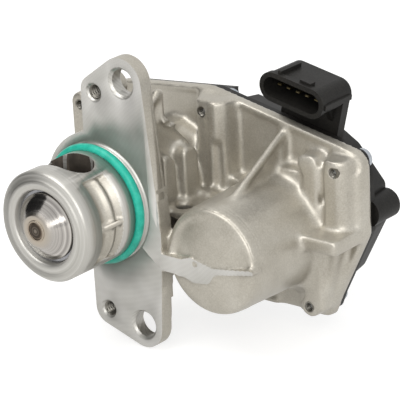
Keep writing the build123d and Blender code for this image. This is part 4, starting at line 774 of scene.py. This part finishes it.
class VALVE_OT_nose_ring(bpy.types.Operator):
    """Build the rubber ring behind the nose"""
    bl_idname = "valve.nose_ring"
    bl_label = "Nose ring"

    def execute(self, context):
        points, faces = make_nose_ring(context.scene.valve_sizes.ring_waviness / MM)
        ring = mesh_object("nose_ring", points, faces, o_ring_rubber())
        tidy_shell(ring, 80.0)
        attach(ring, "housing")
        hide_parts("nose_o_ring")
        return {"FINISHED"}


class VALVE_OT_valve_head(bpy.types.Operator):
    """Build the poppet head with its weld bead"""
    bl_idname = "valve.valve_head"
    bl_label = "Valve head"

    def execute(self, context):
        sizes = context.scene.valve_sizes
        steel = polished_valve_steel()
        head = lathe("valve_head_turned", head_profile(sizes.head_radius / MM), steel, 192, 22.0)
        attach(head, "valve")
        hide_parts("valve_head")
        points, faces = make_weld_bead(sizes.weld_radius / MM)
        weld = mesh_object("weld_bead", points, faces, steel)
        tidy_shell(weld, 80.0)
        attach(weld, "valve")
        dress("valve_stem", steel)
        return {"FINISHED"}


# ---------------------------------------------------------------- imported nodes
DRESSED_ABOVE = {"valve_housing", "nose_o_ring", "valve_head", "valve_stem"}


class VALVE_OT_finishes(bpy.types.Operator):
    """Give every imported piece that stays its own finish"""
    bl_idname = "valve.finishes"
    bl_label = "Finishes"

    def execute(self, context):
        finishes = {slot: plain_metal(*METALS[slot]) for slot in METALS}
        finishes.update({slot: plain_moulding(*MOULDINGS[slot]) for slot in MOULDINGS})
        finishes["cover_plastic"] = moulded_cover_plastic()
        for part in frame["record"]["subparts"]:
            name, slot = part["node"], part["material_slot"]
            if name not in DRESSED_ABOVE:
                dress(name, finishes[slot])
        return {"FINISHED"}


# ---------------------------------------------------------------- stage
# Places are in metres, in the part's frame.
FLOOR_REACH = 1.6
FLOOR_GAP = 0.0004   # the floor lies this far under the valve
FLOOR_GLOW = 0.76    # the floor's own light, seen by the camera and in mirrors but not cast on the part
ROOM_LIGHT = 0.82    # the world's light on the part; seen directly it is 1
KEY_LAMP = {"place": (-0.10, -0.35, 0.75), "target": (0.01, 0.01, 0.0), "size": (0.55, 0.45)}
FILL_LAMP = {"place": (0.58, -0.68, 0.40), "target": (0.02, 0.01, 0.0), "size": (0.55, 0.55)}
CARD_X, CARD_Y, CARD_Z = -0.6, (-0.8, 0.1), (-0.04, 0.9)     # upright card, which darkens what metal mirrors
ONE_QUAD = np.array([(0, 1, 2, 3)])
FOCAL_MM, SENSOR_MM = 222.05, 36.0
CAMERA_PLACE = (0.52602, -0.55925, 0.29051)
CAMERA_TURN, CAMERA_LIFT, CAMERA_ROLL = 40.8, 20.85, -3.26      # in degrees


def add_area(name, power, place, target, size):
    """Oblong area lamp at a place, turned to a target."""
    lamp = bpy.data.lights.new(name, "AREA")
    lamp.shape = "RECTANGLE"
    lamp.size, lamp.size_y = size
    lamp.energy = power
    made = bpy.data.objects.new(name, lamp)
    made.location = place
    made.rotation_euler = (Vector(target) - Vector(place)).to_track_quat("-Z", "Y").to_euler()
    bpy.context.scene.collection.objects.link(made)


def seen_rays(tree):
    """1 on rays that show a surface to the camera, straight, mirrored or through glass, and 0 on others."""
    path = add(tree, "ShaderNodeLightPath")
    seen = maths(tree, "MAXIMUM", path.outputs["Is Camera Ray"], path.outputs["Is Glossy Ray"])
    return maths(tree, "MAXIMUM", seen, path.outputs["Is Transmission Ray"])


def paper_floor(colour):
    """Matt paper with a faint mottle, which glows a little on the rays that show it."""
    material, tree, shader, coords = start_material("matt_paper_floor")
    mottle = span(tree, grain(tree, coords, 60.0, 3.0, 0.5), 0.3, 0.7, 0.0, 0.04)
    tone = blend_colour(tree, mottle, colour, linear("#9C9B99"))
    tree.links.new(tone, shader.inputs["Base Color"])
    shader.inputs["Roughness"].default_value = 0.85
    shader.inputs["Specular IOR Level"].default_value = 0.1
    strength = maths(tree, "MULTIPLY", seen_rays(tree), FLOOR_GLOW)
    glow = add(tree, "ShaderNodeEmission", {"Color": (1.0, 1.0, 1.0, 1.0), "Strength": strength})
    both = add(tree, "ShaderNodeAddShader", {0: shader.outputs[0], 1: glow.outputs[0]})
    tree.links.new(both.outputs[0], tree.nodes["Material Output"].inputs["Surface"])
    return material


def black_felt():
    """Dull black felt."""
    material, tree, shader, coords = start_material("black_felt_card")
    felt = ramp(tree, grain(tree, coords, 2.0, 3.0), [(0.3, "#0C0C0D"), (0.7, "#161618")])
    tree.links.new(felt, shader.inputs["Base Color"])
    shader.inputs["Roughness"].default_value = 0.9
    return material


def light_room(scene):
    """White world, darker as a light than as a background."""
    world = bpy.data.worlds.new("studio")
    scene.world = world
    world.use_nodes = True
    background = world.node_tree.nodes["Background"]
    background.inputs["Color"].default_value = (1.0, 1.0, 1.0, 1.0)
    strength = span(world.node_tree, seen_rays(world.node_tree), 0.0, 1.0, ROOM_LIGHT, 1.0)
    world.node_tree.links.new(strength, background.inputs["Strength"])


def aim_camera(scene):
    """Camera at its place, turned and lifted, then rolled about its own axis."""
    lens = bpy.data.cameras.new("camera")
    lens.lens = FOCAL_MM
    lens.sensor_width = SENSOR_MM
    camera = bpy.data.objects.new("camera", lens)
    turn, lift, roll = (math.radians(v) for v in (CAMERA_TURN, CAMERA_LIFT, CAMERA_ROLL))
    right = Vector((math.cos(turn), math.sin(turn), 0.0))
    back = Vector((math.sin(turn) * math.cos(lift), -math.cos(turn) * math.cos(lift), math.sin(lift)))
    up = back.cross(right)
    rows = (right * math.cos(roll) + up * math.sin(roll), up * math.cos(roll) - right * math.sin(roll), back)
    camera.matrix_world = Matrix.Translation(CAMERA_PLACE) @ Matrix(rows).transposed().to_4x4()
    scene.collection.objects.link(camera)
    scene.camera = camera


class VALVE_OT_studio(bpy.types.Operator):
    """Build floor, dark card, lamps, world and camera"""
    bl_idname = "valve.studio"
    bl_label = "Studio"

    def execute(self, context):
        scene = context.scene
        low = CAD_BOX[0][2] - FLOOR_GAP
        corners = np.array([(-FLOOR_REACH, -FLOOR_REACH, low), (FLOOR_REACH, -FLOOR_REACH, low),
                            (FLOOR_REACH, FLOOR_REACH, low), (-FLOOR_REACH, FLOOR_REACH, low)])
        floor = mesh_object("floor", corners, ONE_QUAD, paper_floor(tuple(scene.studio.floor_colour)))
        corners = np.array([(CARD_X, CARD_Y[0], CARD_Z[0]), (CARD_X, CARD_Y[1], CARD_Z[0]),
                            (CARD_X, CARD_Y[1], CARD_Z[1]), (CARD_X, CARD_Y[0], CARD_Z[1])])
        card = mesh_object("black_card", corners, ONE_QUAD, black_felt())
        card.visible_camera = False
        light_room(scene)
        add_area("key_lamp", scene.studio.key_power, **KEY_LAMP)
        add_area("fill_lamp", scene.studio.fill_power, **FILL_LAMP)
        aim_camera(scene)
        scene.view_settings.view_transform = "Standard"
        return {"FINISHED"}


# ---------------------------------------------------------------- panel and classes
class VALVE_PT_panel(bpy.types.Panel):
    """Sizes, colours and build steps of the valve"""
    bl_label = "Exhaust gas valve"
    bl_idname = "VALVE_PT_panel"
    bl_space_type = "VIEW_3D"
    bl_region_type = "UI"
    bl_category = "Valve"

    def draw(self, context):
        for group in (context.scene.casting, context.scene.valve_sizes, context.scene.studio):
            for key in group.bl_rna.properties.keys():
                if key not in ("rna_type", "name"):
                    self.layout.prop(group, key)
        for operator in OPERATORS:
            self.layout.operator(operator.bl_idname)


SETTINGS = {"casting": CastingSettings, "valve_sizes": ValveSettings, "studio": StudioSettings}
OPERATORS = (VALVE_OT_casting, VALVE_OT_nose_ring, VALVE_OT_valve_head, VALVE_OT_finishes, VALVE_OT_studio)


def register():
    """Makes the settings, the operators and the panel known to Blender."""
    for group in SETTINGS.values():
        bpy.utils.register_class(group)
    for key, group in SETTINGS.items():
        setattr(bpy.types.Scene, key, bpy.props.PointerProperty(type=group))
    for operator in OPERATORS:
        bpy.utils.register_class(operator)
    bpy.utils.register_class(VALVE_PT_panel)


def unregister():
    """Takes them away again."""
    bpy.utils.unregister_class(VALVE_PT_panel)
    for operator in reversed(OPERATORS):
        bpy.utils.unregister_class(operator)
    for key, group in SETTINGS.items():
        delattr(bpy.types.Scene, key)
        bpy.utils.unregister_class(group)


def main():
    """Builds every piece and the stage."""
    register()
    bpy.ops.valve.casting()
    bpy.ops.valve.nose_ring()
    bpy.ops.valve.valve_head()
    bpy.ops.valve.finishes()
    bpy.ops.valve.studio()


if __name__ == "__main__":
    main()
